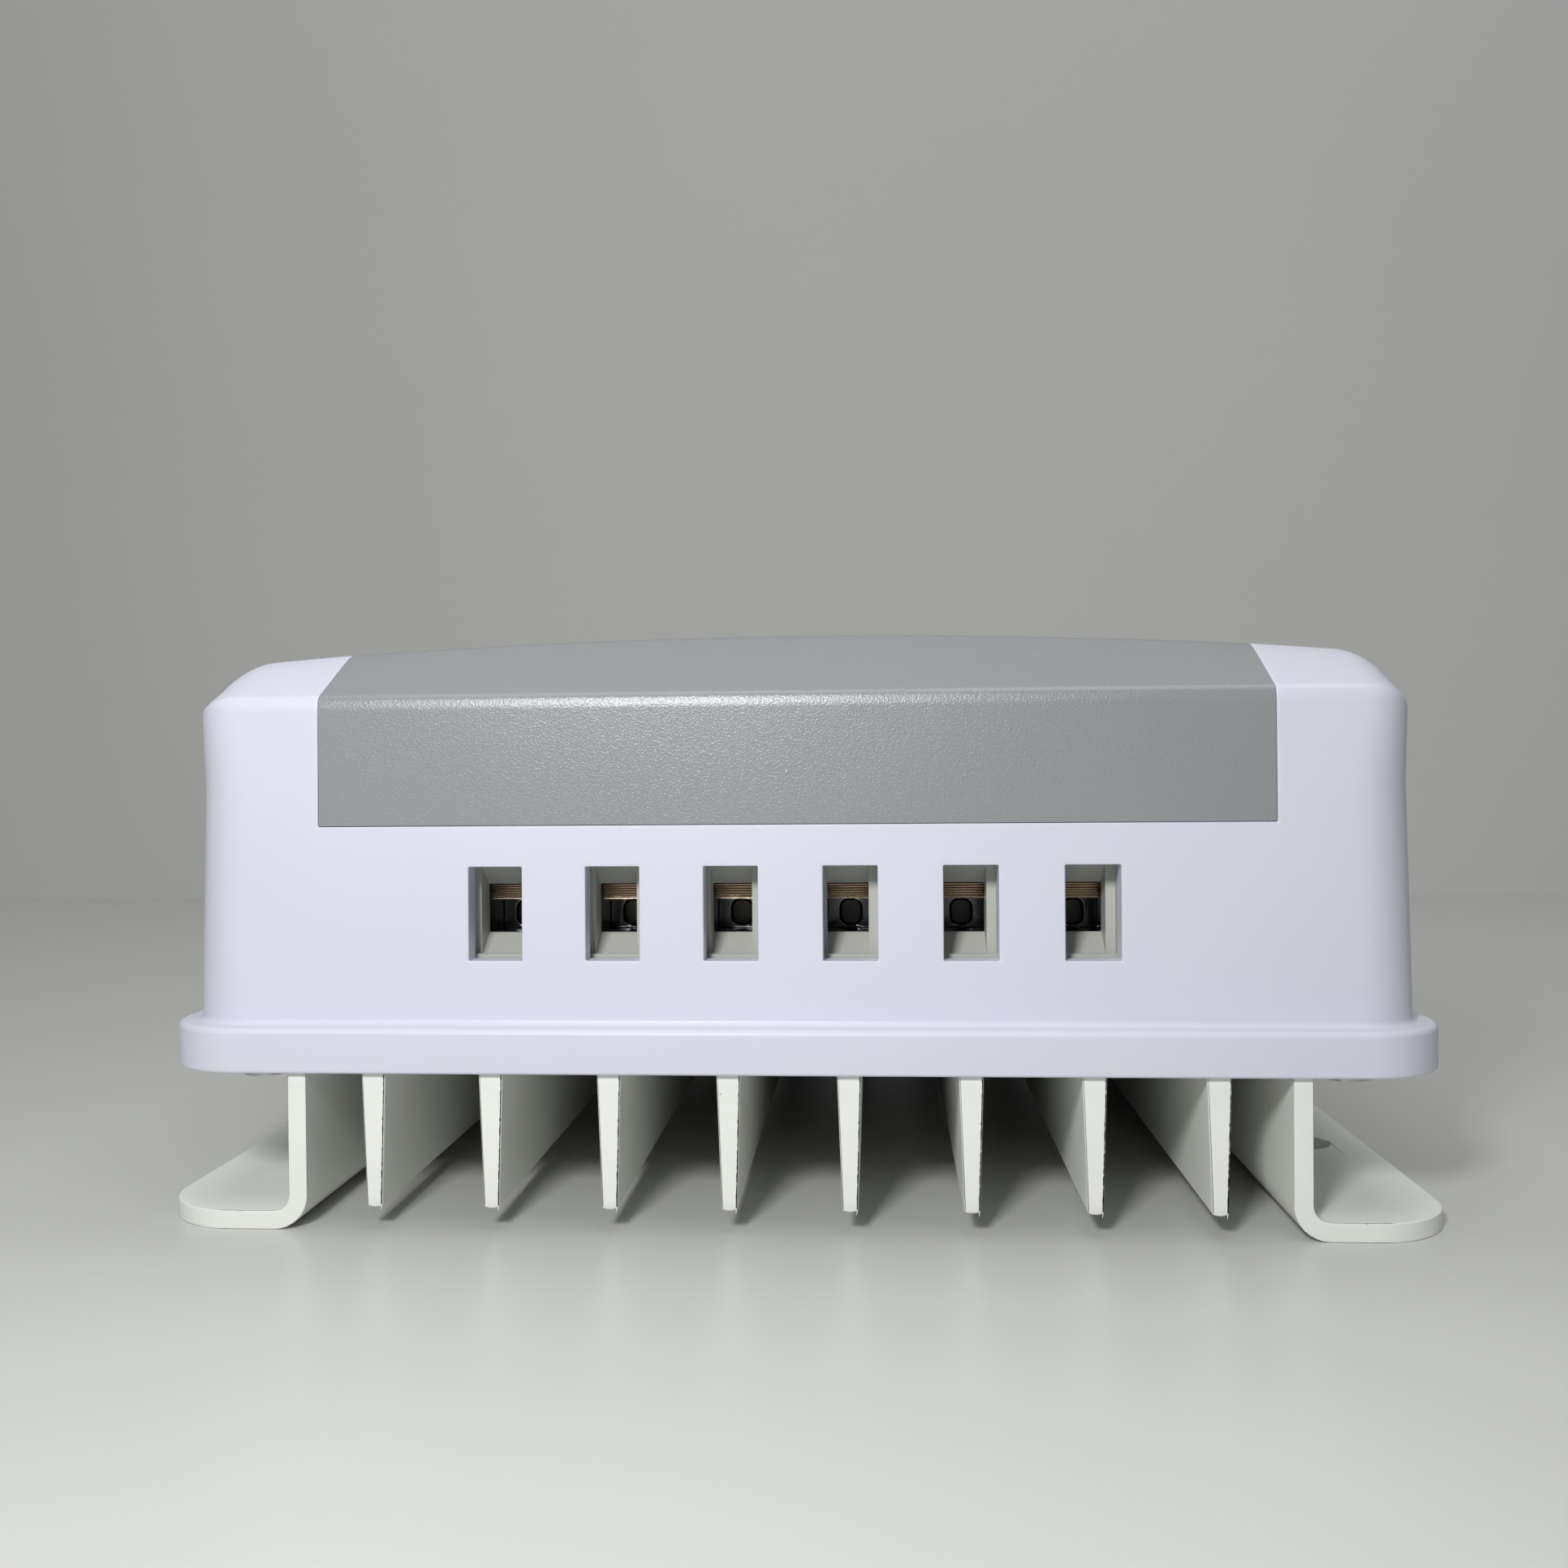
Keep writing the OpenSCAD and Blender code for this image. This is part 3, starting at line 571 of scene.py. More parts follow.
def entry_lines(sizes):
    """Left and right edges of the wiring openings."""
    half = sizes.entry_width / 2
    middles = [node_middle(f"terminal_cage_{i}").x + sizes.entry_shift for i in POLES]
    return [(x - half, x + half) for x in middles]


def room_in(node, margin):
    """An opening inside a node's box, as ranges across and along."""
    low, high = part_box(node)
    return (low.x + margin, high.x - margin, low.y + margin, high.y - margin)


def key_rooms():
    """Openings round the keys' caps, over their flanges."""
    flange, gap = 1 * MM, 0.3 * MM
    return [room_in(f"key_{i}", flange - gap) for i in KEYS]


def beside(lines, gap):
    """Each line with one more on both sides of it."""
    return [line + k * gap for line in lines for k in (-1, 0, 1)]


def snapped(value, lines, reach):
    """The nearest of the lines where it lies within reach, and else the value."""
    nearest = min(lines, key=lambda line: abs(line - value))
    return nearest if abs(nearest - value) < reach else value


class Skin:
    """Cells over the cover, with three layers of places: outside, recess floor and inside."""

    OUTER, RECESS, INNER = 0, 1, 2

    def __init__(self):
        self.layers = [[], [], []]
        self.cells = []

    def add(self, *layers):
        """Adds places, one array a layer, and returns their numbers."""
        first = len(self.layers[0])
        for held, new in zip(self.layers, layers):
            held.extend(new.reshape(-1, 3))
        return np.arange(first, len(self.layers[0])).reshape(layers[0].shape[:-1])

    def cell(self, ids, level):
        """Adds a cell whose upper face is on a level; INNER means that it is open."""
        ids = list(dict.fromkeys(int(i) for i in ids))
        if len(ids) > 2:
            self.cells.append((ids, level))

    def mesh(self):
        """Points and faces of the closed wall, apart from its lower edge."""
        count = len(self.layers[0])
        points = [p for layer in self.layers for p in layer]
        faces = []
        edges = {}
        for ids, level in self.cells:
            if level != self.INNER:
                faces.append([level * count + i for i in ids])
                faces.append([self.INNER * count + i for i in reversed(ids)])
            for a, b in zip(ids, ids[1:] + ids[:1]):
                edges.setdefault((min(a, b), max(a, b)), []).append(level)
        for (a, b), levels in edges.items():
            if len(levels) == 2 and levels[0] != levels[1]:
                low, high = sorted(levels)
                faces.append([low * count + a, low * count + b, high * count + b, high * count + a])
        return points, faces


def rim_profile(form, sizes):
    """The rim from the outer wall down and round to the inner one: the outline that each line follows,
    or None for the form's own, its height, and how far it lies inside."""
    rim = round_rectangle((COVER_HIGH.x, COVER_HIGH.y), sizes.corner + sizes.rim_out)
    inset = sizes.skirt_inset
    skirt = round_rectangle((form.wall_half[0] - inset, form.wall_half[1] - inset), sizes.corner)
    quarter = [(1 - math.sin(angle), 1 - math.cos(angle)) for angle in np.radians(np.linspace(0, 90, 5))]
    upper = sizes.rim_round
    under = upper / 2
    low = COVER_LOW.z
    chamfer = 0.3 * MM
    profile = [(None, form.rim_top + form.FILLET * u, -form.FILLET * v) for u, v in quarter[1:]]
    profile += [(rim, form.rim_top - upper * v, upper * u) for u, v in quarter]
    profile += [(rim, low + under * u, under * v) for u, v in quarter]
    profile += [(skirt, low, -chamfer), (skirt, low + chamfer, 0), (skirt, SINK_HIGH.z, 0)]
    return profile


def cover_mesh(sizes):
    """Points and faces of the cover: walls, slopes and crown, recess, openings and rim."""
    form = CoverForm(sizes)
    gap = sizes.panel_gap
    entries = entry_lines(sizes)
    entry_low = sizes.entry_bottom
    entry_high = entry_low + sizes.entry_height
    band = PANEL_HIGH.x + gap
    band_low = PANEL_LOW.z - gap
    ledge = 3 * MM
    rooms = [room_in("display_window", ledge)] + key_rooms()
    near = 0.6 * MM
    fixed = beside([x for pair in entries for x in pair], near) + beside([-band, band], near)
    rooms = [(snapped(r[0], fixed, near), snapped(r[1], fixed, near), r[2], r[3]) for r in rooms]
    xs = filled(fixed + [x for room in rooms for x in room[:2]] + [-form.inner[0], form.inner[0]], CELL_X)
    ys = filled([y for room in rooms for y in room[2:]] + [-form.inner[1], form.inner[1]], CELL_Y)
    cell_z = 3 * MM
    heights = filled([form.rim_top + form.FILLET, form.FAN_HEIGHT]
                     + beside([entry_low, entry_high, band_low], near), cell_z)
    skin = Skin()
    depths = (0.0, sizes.panel_thick, sizes.wall)
    flat_x, flat_y = np.meshgrid(xs, ys, indexing="ij")
    top = skin.add(*[form.crest(flat_x, flat_y, d) for d in depths])

    # Columns round the plan: where each starts, its way out, and its number on the top. In a corner
    # they turn by these angles, closest where the corner's curve is tightest.
    corner = np.radians([12, 21] + list(np.linspace(28, 67, 16)) + [73, 81])
    last_x, last_y = len(xs) - 1, len(ys) - 1
    columns = []

    def side(points, way):
        columns.extend((xs[i], ys[j], way, top[i, j]) for i, j in points)

    def turn(i, j, angles):
        start = (np.sign(xs[i]), np.sign(ys[j]))
        for angle in angles:
            way = np.array([start[0] * form.INNER_X * math.cos(angle),
                            start[1] * form.INNER_Y * math.sin(angle)])
            columns.append((xs[i], ys[j], tuple(way / np.hypot(*way)), top[i, j]))

    side([(i, 0) for i in range(len(xs))], (0, -1))
    turn(last_x, 0, corner[::-1])
    side([(last_x, j) for j in range(len(ys))], (1, 0))
    turn(last_x, last_y, corner)
    side([(i, last_y) for i in reversed(range(len(xs)))], (0, 1))
    turn(0, last_y, corner[::-1])
    side([(0, j) for j in reversed(range(len(ys)))], (-1, 0))
    turn(0, 0, corner)
    start = np.array([(c[0], c[1], 0) for c in columns])
    way = np.array([(*c[2], 0) for c in columns], float)
    crown_ids = np.array([c[3] for c in columns])
    straight = np.abs(way[:, 1]) == 1

    def level_row(height, depth, field=None):
        origin = start + np.array([0, 0, height])
        return form.cast(origin, way, depth, field)

    def fan_row(angle, depth):
        origin = start + np.array([0, 0, form.FAN_HEIGHT])
        return form.cast(origin, way * np.cos(angle)[:, None] + np.outer(np.sin(angle), (0, 0, 1)), depth)

    rows = [[level_row(z, d) for d in depths] for z in heights]
    rows += [[fan_row(a, d) for d in depths] for a in form.fan(start[:, 0])]
    ids = [skin.add(*row) for row in rows]
    ids.append(crown_ids)
    above_openings = 1.0
    row_height = list(heights) + [above_openings] * (len(ids) - len(heights))
    count = len(columns)
    for k in range(count):
        n = (k + 1) % count
        at_end = straight[k] and straight[n]
        across = (start[k][0] + start[n][0]) / 2
        in_band = at_end and abs(across) < band
        opens = at_end and way[k][1] < 0 and any(a < across < b for a, b in entries)
        for r in range(len(ids) - 1):
            low = row_height[r] + SAME_PLACE
            level = Skin.RECESS if in_band and low > band_low else Skin.OUTER
            if opens and entry_low < low < entry_high:
                level = Skin.INNER
            skin.cell((ids[r][k], ids[r][n], ids[r + 1][n], ids[r + 1][k]), level)
    for i in range(last_x):
        for j in range(last_y):
            x, y = (xs[i] + xs[i + 1]) / 2, (ys[j] + ys[j + 1]) / 2
            level = Skin.RECESS if abs(x) < band else Skin.OUTER
            if any(r[0] < x < r[1] and r[2] < y < r[3] for r in rooms):
                level = Skin.INNER
            skin.cell((top[i, j], top[i + 1, j], top[i + 1, j + 1], top[i, j + 1]), level)
    points, faces = skin.mesh()

    # Rim: its profile carried round the plan
    strips = [level_row(height, depth, field) for field, height, depth in rim_profile(form, sizes)]
    strips.append(level_row(SINK_HIGH.z, sizes.wall))
    layer = len(skin.layers[0])
    numbers = [ids[0]]
    for strip in strips:
        numbers.append(np.arange(len(points), len(points) + count))
        points.extend(strip)
    numbers.append(ids[0] + Skin.INNER * layer)
    for upper, lower in zip(numbers, numbers[1:]):
        for k in range(count):
            n = (k + 1) % count
            faces.append([int(upper[k]), int(lower[k]), int(lower[n]), int(upper[n])])
    return points, faces


def panel_mesh(sizes):
    """Points and faces of the face panel, a curved strip over both ends and the top."""
    form = CoverForm(sizes)
    xs = filled([PANEL_LOW.x, PANEL_HIGH.x] + beside([0], 30 * MM), CELL_X)
    ys = filled([-form.inner[1], form.inner[1]], CELL_Y)
    cell_z = 1.5 * MM
    heights = filled([PANEL_LOW.z, form.FAN_HEIGHT], cell_z)
    over_recess = 0.05 * MM

    def starts(y, z):
        return np.stack([xs, xs * 0 + y, xs * 0 + z], -1)

    def strip(depth):
        rows = []
        for sign in (-1, 1):
            way = np.array([0, sign, 0.0])
            end = sign * form.inner[1]
            low = [form.cast(starts(end, z), way, depth) for z in heights]
            for a in form.fan(xs):
                fanned = np.outer(np.cos(a), way) + np.outer(np.sin(a), (0, 0, 1))
                low.append(form.cast(starts(end, form.FAN_HEIGHT), fanned, depth))
            rows.append(low)
        crown = [form.crest(xs, xs * 0 + y, depth) for y in ys]
        return np.array(rows[0] + crown + rows[1][::-1])

    outer = strip(0.0)
    inner = strip(sizes.panel_thick - over_recess)
    rows, columns = outer.shape[:2]
    points = np.concatenate([outer.reshape(-1, 3), inner.reshape(-1, 3)])
    number = np.arange(rows * columns).reshape(rows, columns)
    below = number + rows * columns
    faces = []
    for r in range(rows - 1):
        for c in range(columns - 1):
            faces.append([number[r, c], number[r, c + 1], number[r + 1, c + 1], number[r + 1, c]])
            faces.append([below[r, c], below[r + 1, c], below[r + 1, c + 1], below[r, c + 1]])
        for c in (0, columns - 1):
            faces.append([number[r, c], number[r + 1, c], below[r + 1, c], below[r, c]])
    for c in range(columns - 1):
        for r in (0, rows - 1):
            faces.append([number[r, c], number[r, c + 1], below[r, c + 1], below[r, c]])
    return points, [[int(i) for i in face] for face in faces]


def rounded_outline(half, radius):
    """Points of a rounded rectangle about the origin."""
    steps = 8
    made = []
    for turn, (sx, sy) in enumerate(((1, 1), (-1, 1), (-1, -1), (1, -1))):
        middle = (sx * (half[0] - radius), sy * (half[1] - radius))
        for k in range(steps + 1):
            angle = math.radians(90 * (turn + k / steps))
            made.append((middle[0] + radius * math.cos(angle), middle[1] + radius * math.sin(angle)))
    return made


def prism(name, outline, low, high, middle=(0, 0), lean=0.0):
    """A closed upright prism, whose top is wider by lean as a share of its foot."""
    count = len(outline)
    grow = 1 + lean
    points = [(x + middle[0], y + middle[1], low) for x, y in outline]
    points += [(x * grow + middle[0], y * grow + middle[1], high) for x, y in outline]
    faces = [list(range(count))[::-1], list(range(count, 2 * count))]
    faces += [[k, (k + 1) % count, count + (k + 1) % count, count + k] for k in range(count)]
    return mesh_object(name, points, faces)


def circle(radius, steps=32):
    """Points of a circle."""
    angles = [2 * math.pi * k / steps for k in range(steps)]
    return [(radius * math.cos(angle), radius * math.sin(angle)) for angle in angles]


def panel_screw_places():
    """Middles of the four panel screws, from the group's box."""
    low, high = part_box("panel_screws")
    head = 3 * MM
    return [(x, y) for x in (low.x + head, high.x - head) for y in (low.y + head, high.y - head)]


def make_panel(sizes):
    """The face panel, with its window, key holes and countersinks."""
    panel = mesh_object("panel", *panel_mesh(sizes))
    low, high = PANEL_HIGH.z - 12 * MM, PANEL_HIGH.z + 5 * MM
    gap = 0.2 * MM
    window_corner, key_corner = 2.2 * MM, 2.3 * MM

    def cut(name, outline, *place):
        combine(panel, prism(name, outline, *place), "DIFFERENCE")

    half = (WINDOW_HIGH - WINDOW_LOW) / 2
    window = rounded_outline((half.x + gap, half.y + gap), window_corner)
    cut("window_cut", window, low, high, node_middle("display_window"))
    for left, right, front, back in key_rooms():
        key = rounded_outline(((right - left) / 2, (back - front) / 2), key_corner)
        cut("key_cut", key, low, high, ((left + right) / 2, (front + back) / 2))
    form = CoverForm(sizes)
    shank = circle(1.8 * MM)
    head_flare = 1.4 / 1.8
    for x, y in panel_screw_places():
        seat = form.crest(np.array([x]), np.array([y]))[0][2] - sizes.panel_thick
        cut("cone_cut", shank, seat, seat + 2 * sizes.panel_thick, (x, y), 2 * head_flare)
        cut("shank_cut", shank, low, high, (x, y))
    return soften(panel, 0.1 * MM)


def fin_tree():
    """Geometry nodes that repeat a tapered fin with a round tip and ragged sawn ends."""
    group = bpy.data.node_groups.new("fins", "GeometryNodeTree")
    ports = {}
    for name in ("Count", "Pitch", "Root", "Tip", "Length", "Low", "High", "Ragged", "Material"):
        kind = {"Count": "Int", "Material": "Material"}.get(name, "Float")
        ports[name] = group.interface.new_socket(name, in_out="INPUT", socket_type=f"NodeSocket{kind}")
    group.interface.new_socket("Geometry", in_out="OUTPUT", socket_type="NodeSocketGeometry")
    tree = Tree(group)
    source = group.nodes.new("NodeGroupInput")
    count, pitch, root, thin, extent, low, high, ragged, material = (
        Value(tree, source.outputs[name]) for name in ports)
    block = tree.node("GeometryNodeMeshCube", {
        "Size": (2, 2, 1), "Vertices X": 9, "Vertices Y": 6, "Vertices Z": 56})
    x, y, z = tree.axes(tree.node("GeometryNodeInputPosition"))

    # Across: a taper from root to tip, whose lower edge is rounded
    rise = z + 0.5
    bottom = rise < 0.001
    round_x = (x * math.pi / 2).maths("SINE")
    blunt = 0.65
    lift = 1 - (blunt + (x * math.pi / 2).maths("COSINE") * (1 - blunt)) * bottom
    tip = thin / 2
    half = tip + (root / 2 - tip) * rise

    # Along: the block's rows next to its ends move out to a sawn margin
    next_row = 0.6
    margin = 0.5 * MM
    at_end = y.maths("ABSOLUTE") > 0.9
    reach = extent / 2
    along = y * (at_end * reach + (1 - at_end) * (reach - margin) / next_row)

    # Chips on the right edge of the sawn ends, with their own seeds along each axis
    right = (x > 0.99) * at_end
    chips = tree.node("ShaderNodeTexNoise", {
        "Vector": tree.vector(x * 9, y * 7, rise * 46), "Scale": 1.0, "Detail": 3.0}, "Fac")
    middle, gain = 0.62, 4
    worn = (chips - middle) * ragged * gain * right
    height = low + tip * lift + (high - low - tip) * rise
    fin = tree.node("GeometryNodeSetPosition", {
        "Geometry": block, "Position": tree.vector(half * round_x + worn, along, height)})
    line = tree.node("GeometryNodeMeshLine", {
        "Count": count, "Start Location": tree.vector((count - 1) * pitch * -0.5, 0, 0),
        "Offset": tree.vector(pitch, 0, 0)}, mode="OFFSET")
    placed = tree.node("GeometryNodeInstanceOnPoints", {"Points": line, "Instance": fin})
    real = tree.node("GeometryNodeRealizeInstances", [placed])
    painted = tree.node("GeometryNodeSetMaterial", {"Geometry": real, "Material": material})
    tree.node("NodeGroupOutput", [painted])
    return group, {name: port.identifier for name, port in ports.items()}


def grown(name, group, names, inputs):
    """A plain mesh made by a geometry nodes tree, from its inputs by name."""
    obj = linked(name, bpy.data.meshes.new(name))
    nodes = obj.modifiers.new("nodes", "NODES")
    nodes.node_group = group
    for key, value in inputs.items():
        nodes[names[key]] = value
    return settle(obj)


def leg_mesh(sizes, side):
    """A leg, its bend and its foot with round corners, as one strip."""
    face = sizes.leg_span / 2 + sizes.leg / 2
    inner = sizes.bend
    thick = sizes.leg
    reach = SINK_HIGH.y
    corner = sizes.foot_corner
    rows_down, rows_bend, rows_out = 24, 8, 10
    in_plate = 3 * MM
    path = [(face, z, -1, 0) for z in np.linspace(SINK_HIGH.z - in_plate, thick + inner, rows_down)]
    for angle in np.radians(np.linspace(180, 270, rows_bend + 1))[1:]:
        path.append((face + inner + inner * math.cos(angle), thick + inner + inner * math.sin(angle),
                     math.cos(angle), math.sin(angle)))
    bend_end = face + inner
    lines_middle, lines_corner = 12, 13
    arc = np.sin(np.radians(np.linspace(0, 90, lines_corner)))
    ys = [s * (reach - corner + corner * a) for a in arc for s in (-1, 1)]
    ys += list(np.linspace(-reach + corner, reach - corner, lines_middle))
    columns = []
    for y in sorted({round(y, DECIMALS) for y in ys}):
        over = max(0.0, abs(y) - (reach - corner))
        end = SINK_HIGH.x - corner + math.sqrt(max(0.0, corner ** 2 - over ** 2))
        column = path + [(bend_end + (end - bend_end) * k / rows_out, thick, 0, -1)
                         for k in range(1, rows_out + 1)]
        top = [(side * x, y, z) for x, z, _, _ in column]
        under = [(side * (x + nx * thick), y, z + nz * thick) for x, z, nx, nz in column]
        columns.append(top + under[::-1])
    count = len(columns[0])
    points = [place for column in columns for place in column]
    faces = []
    for j in range(len(columns) - 1):
        for k in range(count):
            n = (k + 1) % count
            faces.append([j * count + k, j * count + n, (j + 1) * count + n, (j + 1) * count + k])
    for j in (0, len(columns) - 1):
        first, last = j * count, (j + 1) * count - 1
        for k in range(count // 2 - 1):
            faces.append([first + k, first + k + 1, last - 1 - k, last - k])
    return points, faces


def make_heatsink(sizes):
    """Fins, legs, feet and base plate as one coated extrusion."""
    group, names = fin_tree()
    plate_low = SINK_HIGH.z - sizes.plate
    overlap = 1 * MM
    sink = grown("heatsink_body", group, names, {
        "Count": sizes.fins, "Pitch": sizes.pitch, "Root": sizes.root, "Tip": sizes.tip,
        "Length": 2 * SINK_HIGH.y, "Low": sizes.clearance, "High": plate_low + overlap,
        "Ragged": sizes.ragged, "Material": MATERIALS["coated_aluminium"]})
    for side in (-1, 1):
        combine(sink, mesh_object("leg", *leg_mesh(sizes, side)), "UNION")
    cover = bpy.context.scene.cover_sizes
    inset = cover.rim_out + sizes.plate_inset
    half = (COVER_HIGH.x - inset, COVER_HIGH.y - inset)
    combine(sink, prism("plate", rounded_outline(half, cover.corner), plate_low, SINK_HIGH.z), "UNION")
    hole = circle(sizes.hole / 2, 48)
    below, above = -5 * MM, 8 * MM
    for side in (-1, 1):
        for end in (-1, 1):
            middle = (side * sizes.hole_across / 2, end * sizes.hole_along / 2)
            combine(sink, prism("hole", hole, below, above, middle), "DIFFERENCE")
    return soften(sink, 0.16 * MM, sharp=45, segments=2)


def eye_rim(edge):
    """True on the front rim of the eye in a clamp frame's back wall."""
    back_wall = 1.4 * MM
    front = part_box("terminal_cage_1")[1].y - back_wall
    height = 38.2 * MM
    reach = 2.2 * MM
    places = [vertex.co for vertex in edge.verts]
    middles = [node_middle(f"terminal_cage_{i}").x for i in POLES]
    middle = min(middles, key=lambda x: abs(x - places[0].x))
    on_wall = all(abs(p.y - front) < 10 * SAME_PLACE for p in places)
    near = all(abs(p.z - height) < reach and abs(p.x - middle) < reach for p in places)
    return on_wall and near and edge.calc_face_angle(0) > math.radians(45)


def carry_over(node, name, slot, body, width, sharp=35, segments=2, rims=None, finish=None):
    """Replaces a node by a copy with merged doubles and rounded edges, those that rims picks by more."""
    rim_width = 0.45 * MM
    mesh = NODES[node].data.copy()
    made = bmesh.new()
    made.from_mesh(mesh)
    bmesh.ops.remove_doubles(made, verts=made.verts, dist=2 * SAME_PLACE)
    bmesh.ops.dissolve_limit(made, angle_limit=math.radians(1), verts=made.verts, edges=made.edges)
    bmesh.ops.triangulate(made, faces=made.faces)
    bmesh.ops.recalc_face_normals(made, faces=made.faces)
    if rims:
        chosen = [edge for edge in made.edges if rims(edge)]
        bmesh.ops.bevel(made, geom=chosen, offset=rim_width, segments=4, profile=0.5, affect="EDGES")
    made.to_mesh(mesh)
    made.free()
    copy = soften(linked(name, mesh), width, sharp, segments)
    dress(copy, slot, body, node, finish=finish)


class CONTROLLER_OT_finishes(bpy.types.Operator):
    """Makes the materials and gives every carried-over node its own."""

    bl_idname = "controller.finishes"
    bl_label = "Finishes"

    def execute(self, context):
        MATERIALS.update(make_materials(context.scene.finishes))
        for part in frame["record"]["subparts"]:
            obj = NODES[part["node"]]
            obj.data.materials.clear()
            obj.data.materials.append(MATERIALS[part["material_slot"]])
            obj.data.shade_smooth()
            obj.data.set_sharp_from_angle(angle=math.radians(30))
        return {"FINISHED"}


class CONTROLLER_OT_cover(bpy.types.Operator):
    """Builds the drafted cover with its rim, recess and wiring openings."""

    bl_idname = "controller.cover"
    bl_label = "Cover"

    def execute(self, context):
        sizes = context.scene.cover_sizes
        shell = soften(mesh_object("cover_shell", *cover_mesh(sizes)), sizes.edge, sharp=50)
        dress(shell, "cover_white", HOUSING, "cover")
        return {"FINISHED"}


class CONTROLLER_OT_panel(bpy.types.Operator):
    """Builds the grey face panel."""

    bl_idname = "controller.panel"
    bl_label = "Face panel"

    def execute(self, context):
        dress(make_panel(context.scene.cover_sizes), "panel_grey", HOUSING, "face_panel")
        return {"FINISHED"}


class CONTROLLER_OT_heatsink(bpy.types.Operator):
    """Builds the finned heatsink with its legs and feet."""

    bl_idname = "controller.heatsink"
    bl_label = "Heatsink"

    def execute(self, context):
        dress(make_heatsink(context.scene.sink_sizes), "coated_aluminium", HOUSING, "heatsink")
        return {"FINISHED"}


class CONTROLLER_OT_terminals(bpy.types.Operator):
    """Rounds the edges of the terminal block, its clamp frames, plates and screws."""

    bl_idname = "controller.terminals"
    bl_label = "Terminals"

    def execute(self, context):
        carry_over("terminal_block", "block_moulding", "terminal_grey", HOUSING, width=0.12 * MM)
        for i in POLES:
            # The frames take the nickel painted nearly black, a painted shade for the cavities behind the
            # openings
            carry_over(f"terminal_cage_{i}", f"clamp_frame_{i}", "terminal_nickel", HOUSING,
                       width=0.15 * MM, rims=eye_rim, finish="frame_nickel_painted_dark")
            carry_over(f"clamp_plate_{i}", f"pressure_plate_{i}", "terminal_nickel", f"clamp_{i}",
                       width=0.05 * MM, sharp=25)
            carry_over(f"terminal_screw_{i}", f"clamp_screw_{i}", "fastener_steel", f"screw_{i}",
                       width=0.12 * MM)
        return {"FINISHED"}


class CONTROLLER_OT_keys(bpy.types.Operator):
    """Rounds the key caps and the display window."""

    bl_idname = "controller.keys"
    bl_label = "Keys and window"

    def execute(self, context):
        for i in KEYS:
            carry_over(f"key_{i}", f"key_cap_{i}", "key_plastic", f"key_{i}",
                       width=0.4 * MM, sharp=50, segments=4)
        carry_over("display_window", "window_glass", "window_clear", HOUSING, width=0.2 * MM, sharp=50)
        return {"FINISHED"}


def plain_material(name, colour, roughness):
    """A material of the stage, with faint clouding."""
    paint = Paint(name)
    tone = paint.tones(paint.noise(250 * MM, 3), colour, 0.97, 1.03)
    return paint.finish(tone, roughness)


def stage_sheet(name, corners, material):
    """A flat sheet of the stage."""
    sheet = mesh_object(name, corners, [[0, 1, 2, 3]])
    sheet.data.materials.append(material)


def lamp(name, place, aim, size, power):
    """A soft square lamp that looks at a place."""
    light = bpy.data.lights.new(name, "AREA")
    light.size = size
    light.energy = power
    obj = linked(name, light)
    obj.location = place
    obj.rotation_euler = (Vector(aim) - Vector(place)).to_track_quat("-Z", "Y").to_euler()


def place_camera():
    """The camera at the photograph's angle, as fitted to the outline of the unit."""
    place = Vector((0.011337, -0.282174, 0.058))
    yaw, pitch, roll = 0.06488, 0.01105, 0.00841
    focal_share = 1786 / 1932
    turn = Matrix.Rotation(yaw, 3, "Z") @ Matrix.Rotation(math.pi / 2 - pitch, 3, "X")
    turn = turn @ Matrix.Rotation(-roll, 3, "Z")
    camera = bpy.data.cameras.new("camera")
    camera.sensor_width = 36
    camera.lens = camera.sensor_width * focal_share
    camera.clip_start = 0.01
    obj = linked("camera", camera)
    obj.matrix_world = Matrix.Translation(place) @ turn.to_4x4()
    bpy.context.scene.camera = obj


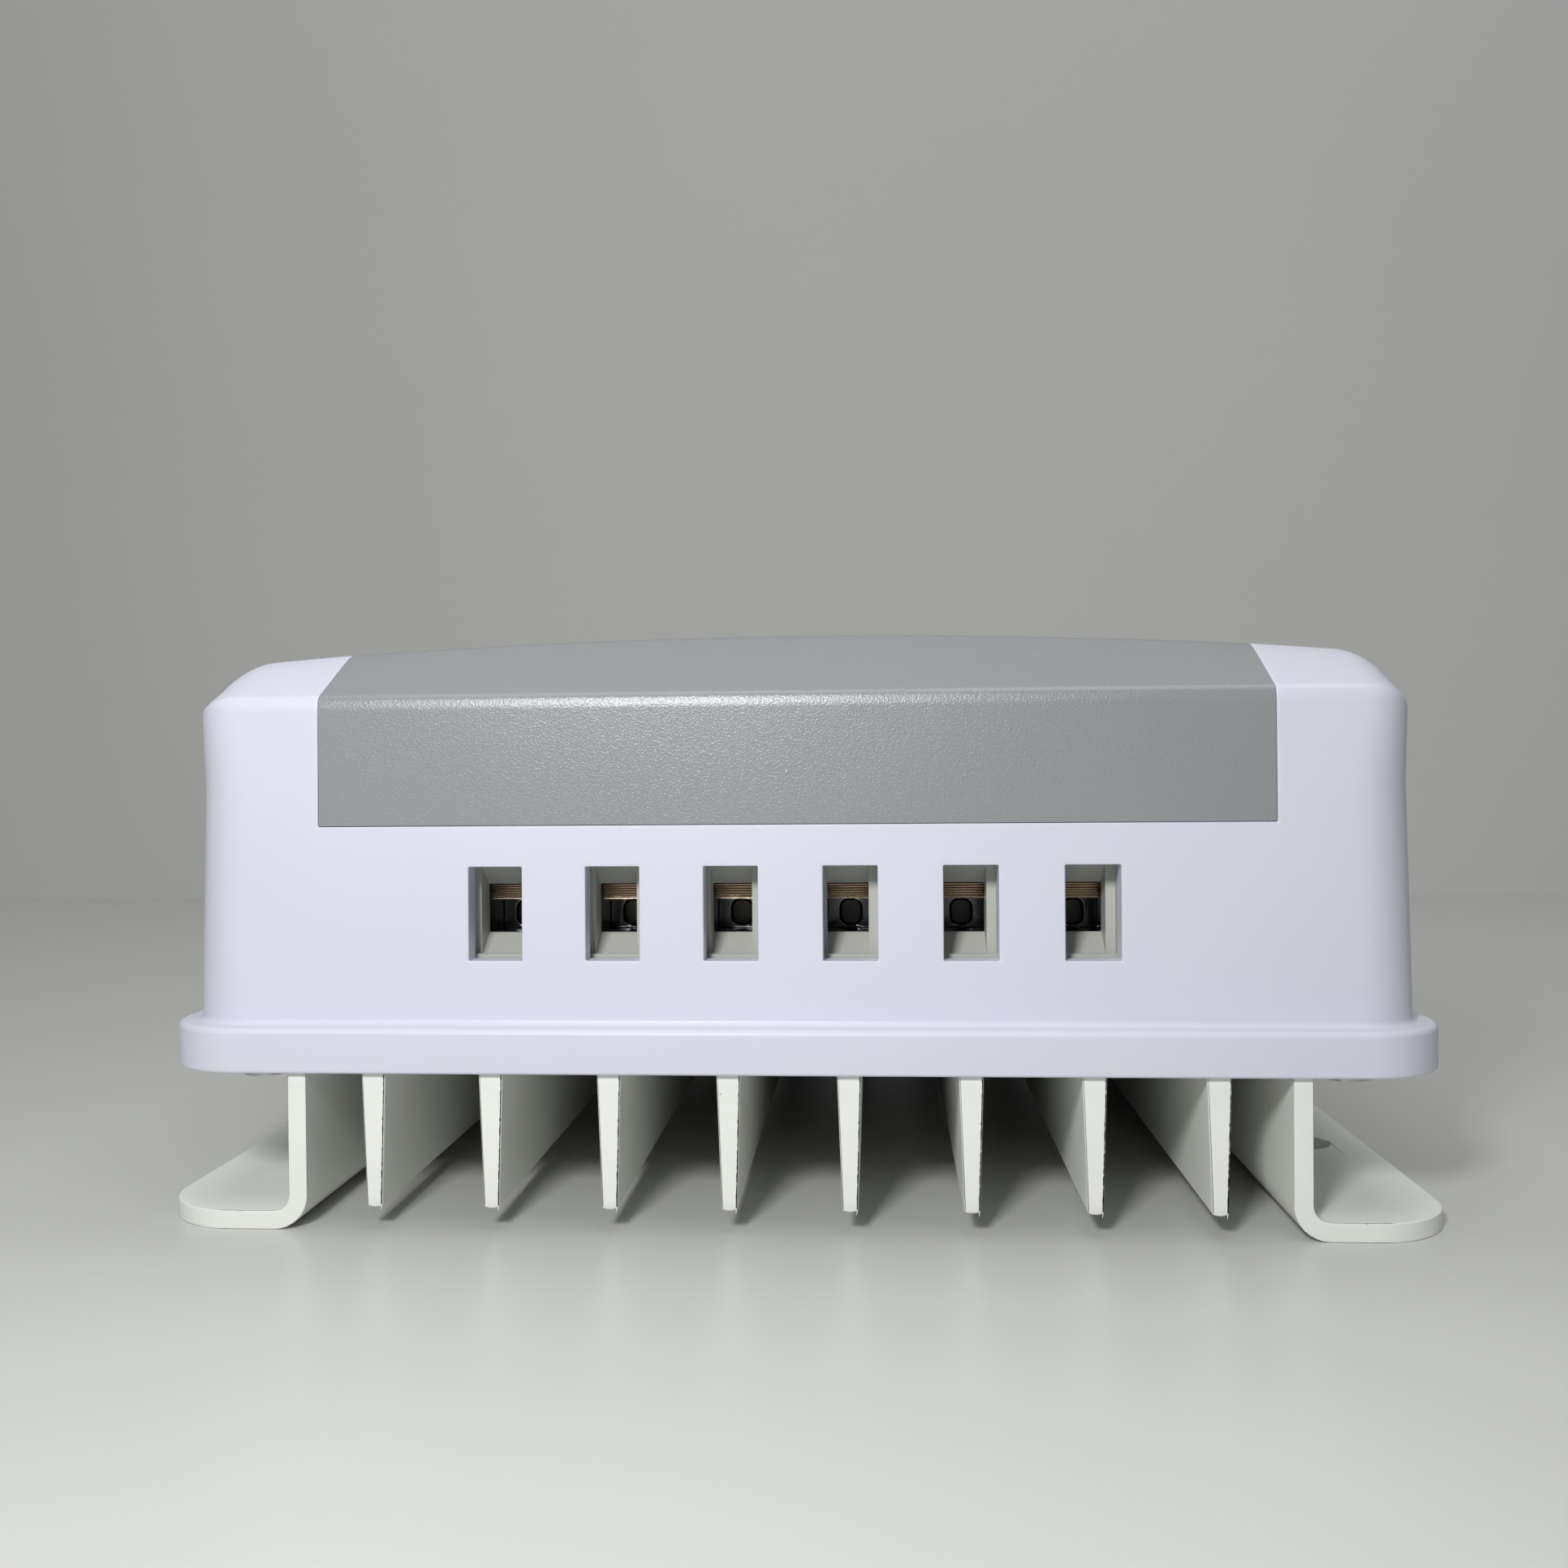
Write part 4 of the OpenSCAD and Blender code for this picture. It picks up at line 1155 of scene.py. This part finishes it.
class CONTROLLER_OT_stage(bpy.types.Operator):
    """Sets the floor, the backdrop, the lamps, the world and the camera."""

    bl_idname = "controller.stage"
    bl_label = "Stage"

    def execute(self, context):
        colours = context.scene.finishes
        back, front, wide, tall = 0.37, -1.2, 1.6, 1.4
        floor = plain_material("floor", colours.floor, 0.36)
        wall = plain_material("backdrop", colours.wall, 0.8)
        left, right = (-wide, back, 0), (wide, back, 0)
        stage_sheet("floor", [(-wide, front, 0), (wide, front, 0), right, left], floor)
        stage_sheet("backdrop", [left, right, (wide, back, tall), (-wide, back, tall)], wall)
        lamp("key_lamp", (-0.053, -0.328, 0.172), aim=(0, -0.10, 0.03), size=0.045, power=0.545)
        lamp("top_lamp", (0.05, -0.08, 1.3), aim=(0.05, -0.08, 0), size=1.2, power=8.4)
        world = bpy.data.worlds.new("studio")
        world.use_nodes = True
        shown = world.node_tree.nodes["Background"]
        shown.inputs["Color"].default_value = (0.89, 0.90, 0.91, 1)
        shown.inputs["Strength"].default_value = 0.1
        context.scene.world = world
        context.scene.view_settings.view_transform = "Standard"
        place_camera()
        return {"FINISHED"}


class CONTROLLER_PT_panel(bpy.types.Panel):
    """The pieces of the controller, in the order in which they are built."""

    bl_idname = "CONTROLLER_PT_panel"
    bl_label = "Solar charge controller"
    bl_space_type = "VIEW_3D"
    bl_region_type = "UI"
    bl_category = "Controller"

    def draw(self, context):
        for operator in OPERATORS:
            self.layout.operator(operator.bl_idname)
        for group, kind in SETTINGS.items():
            for name in kind.__annotations__:
                self.layout.prop(getattr(context.scene, group), name)


OPERATORS = (CONTROLLER_OT_stage, CONTROLLER_OT_finishes, CONTROLLER_OT_cover, CONTROLLER_OT_panel,
             CONTROLLER_OT_heatsink, CONTROLLER_OT_terminals, CONTROLLER_OT_keys)
SETTINGS = {"cover_sizes": CoverSizes, "sink_sizes": SinkSizes, "finishes": Finishes}
CLASSES = (*SETTINGS.values(), *OPERATORS, CONTROLLER_PT_panel)


def register():
    """Registers the classes and their settings."""
    for item in CLASSES:
        bpy.utils.register_class(item)
    for name, kind in SETTINGS.items():
        setattr(bpy.types.Scene, name, bpy.props.PointerProperty(type=kind))


def unregister():
    """Removes the classes and their settings."""
    for name in SETTINGS:
        delattr(bpy.types.Scene, name)
    for item in reversed(CLASSES):
        bpy.utils.unregister_class(item)


def main():
    """Builds everything in order."""
    register()
    for operator in OPERATORS:
        group, name = operator.bl_idname.split(".")
        getattr(getattr(bpy.ops, group), name)()


if __name__ == "__main__":
    main()
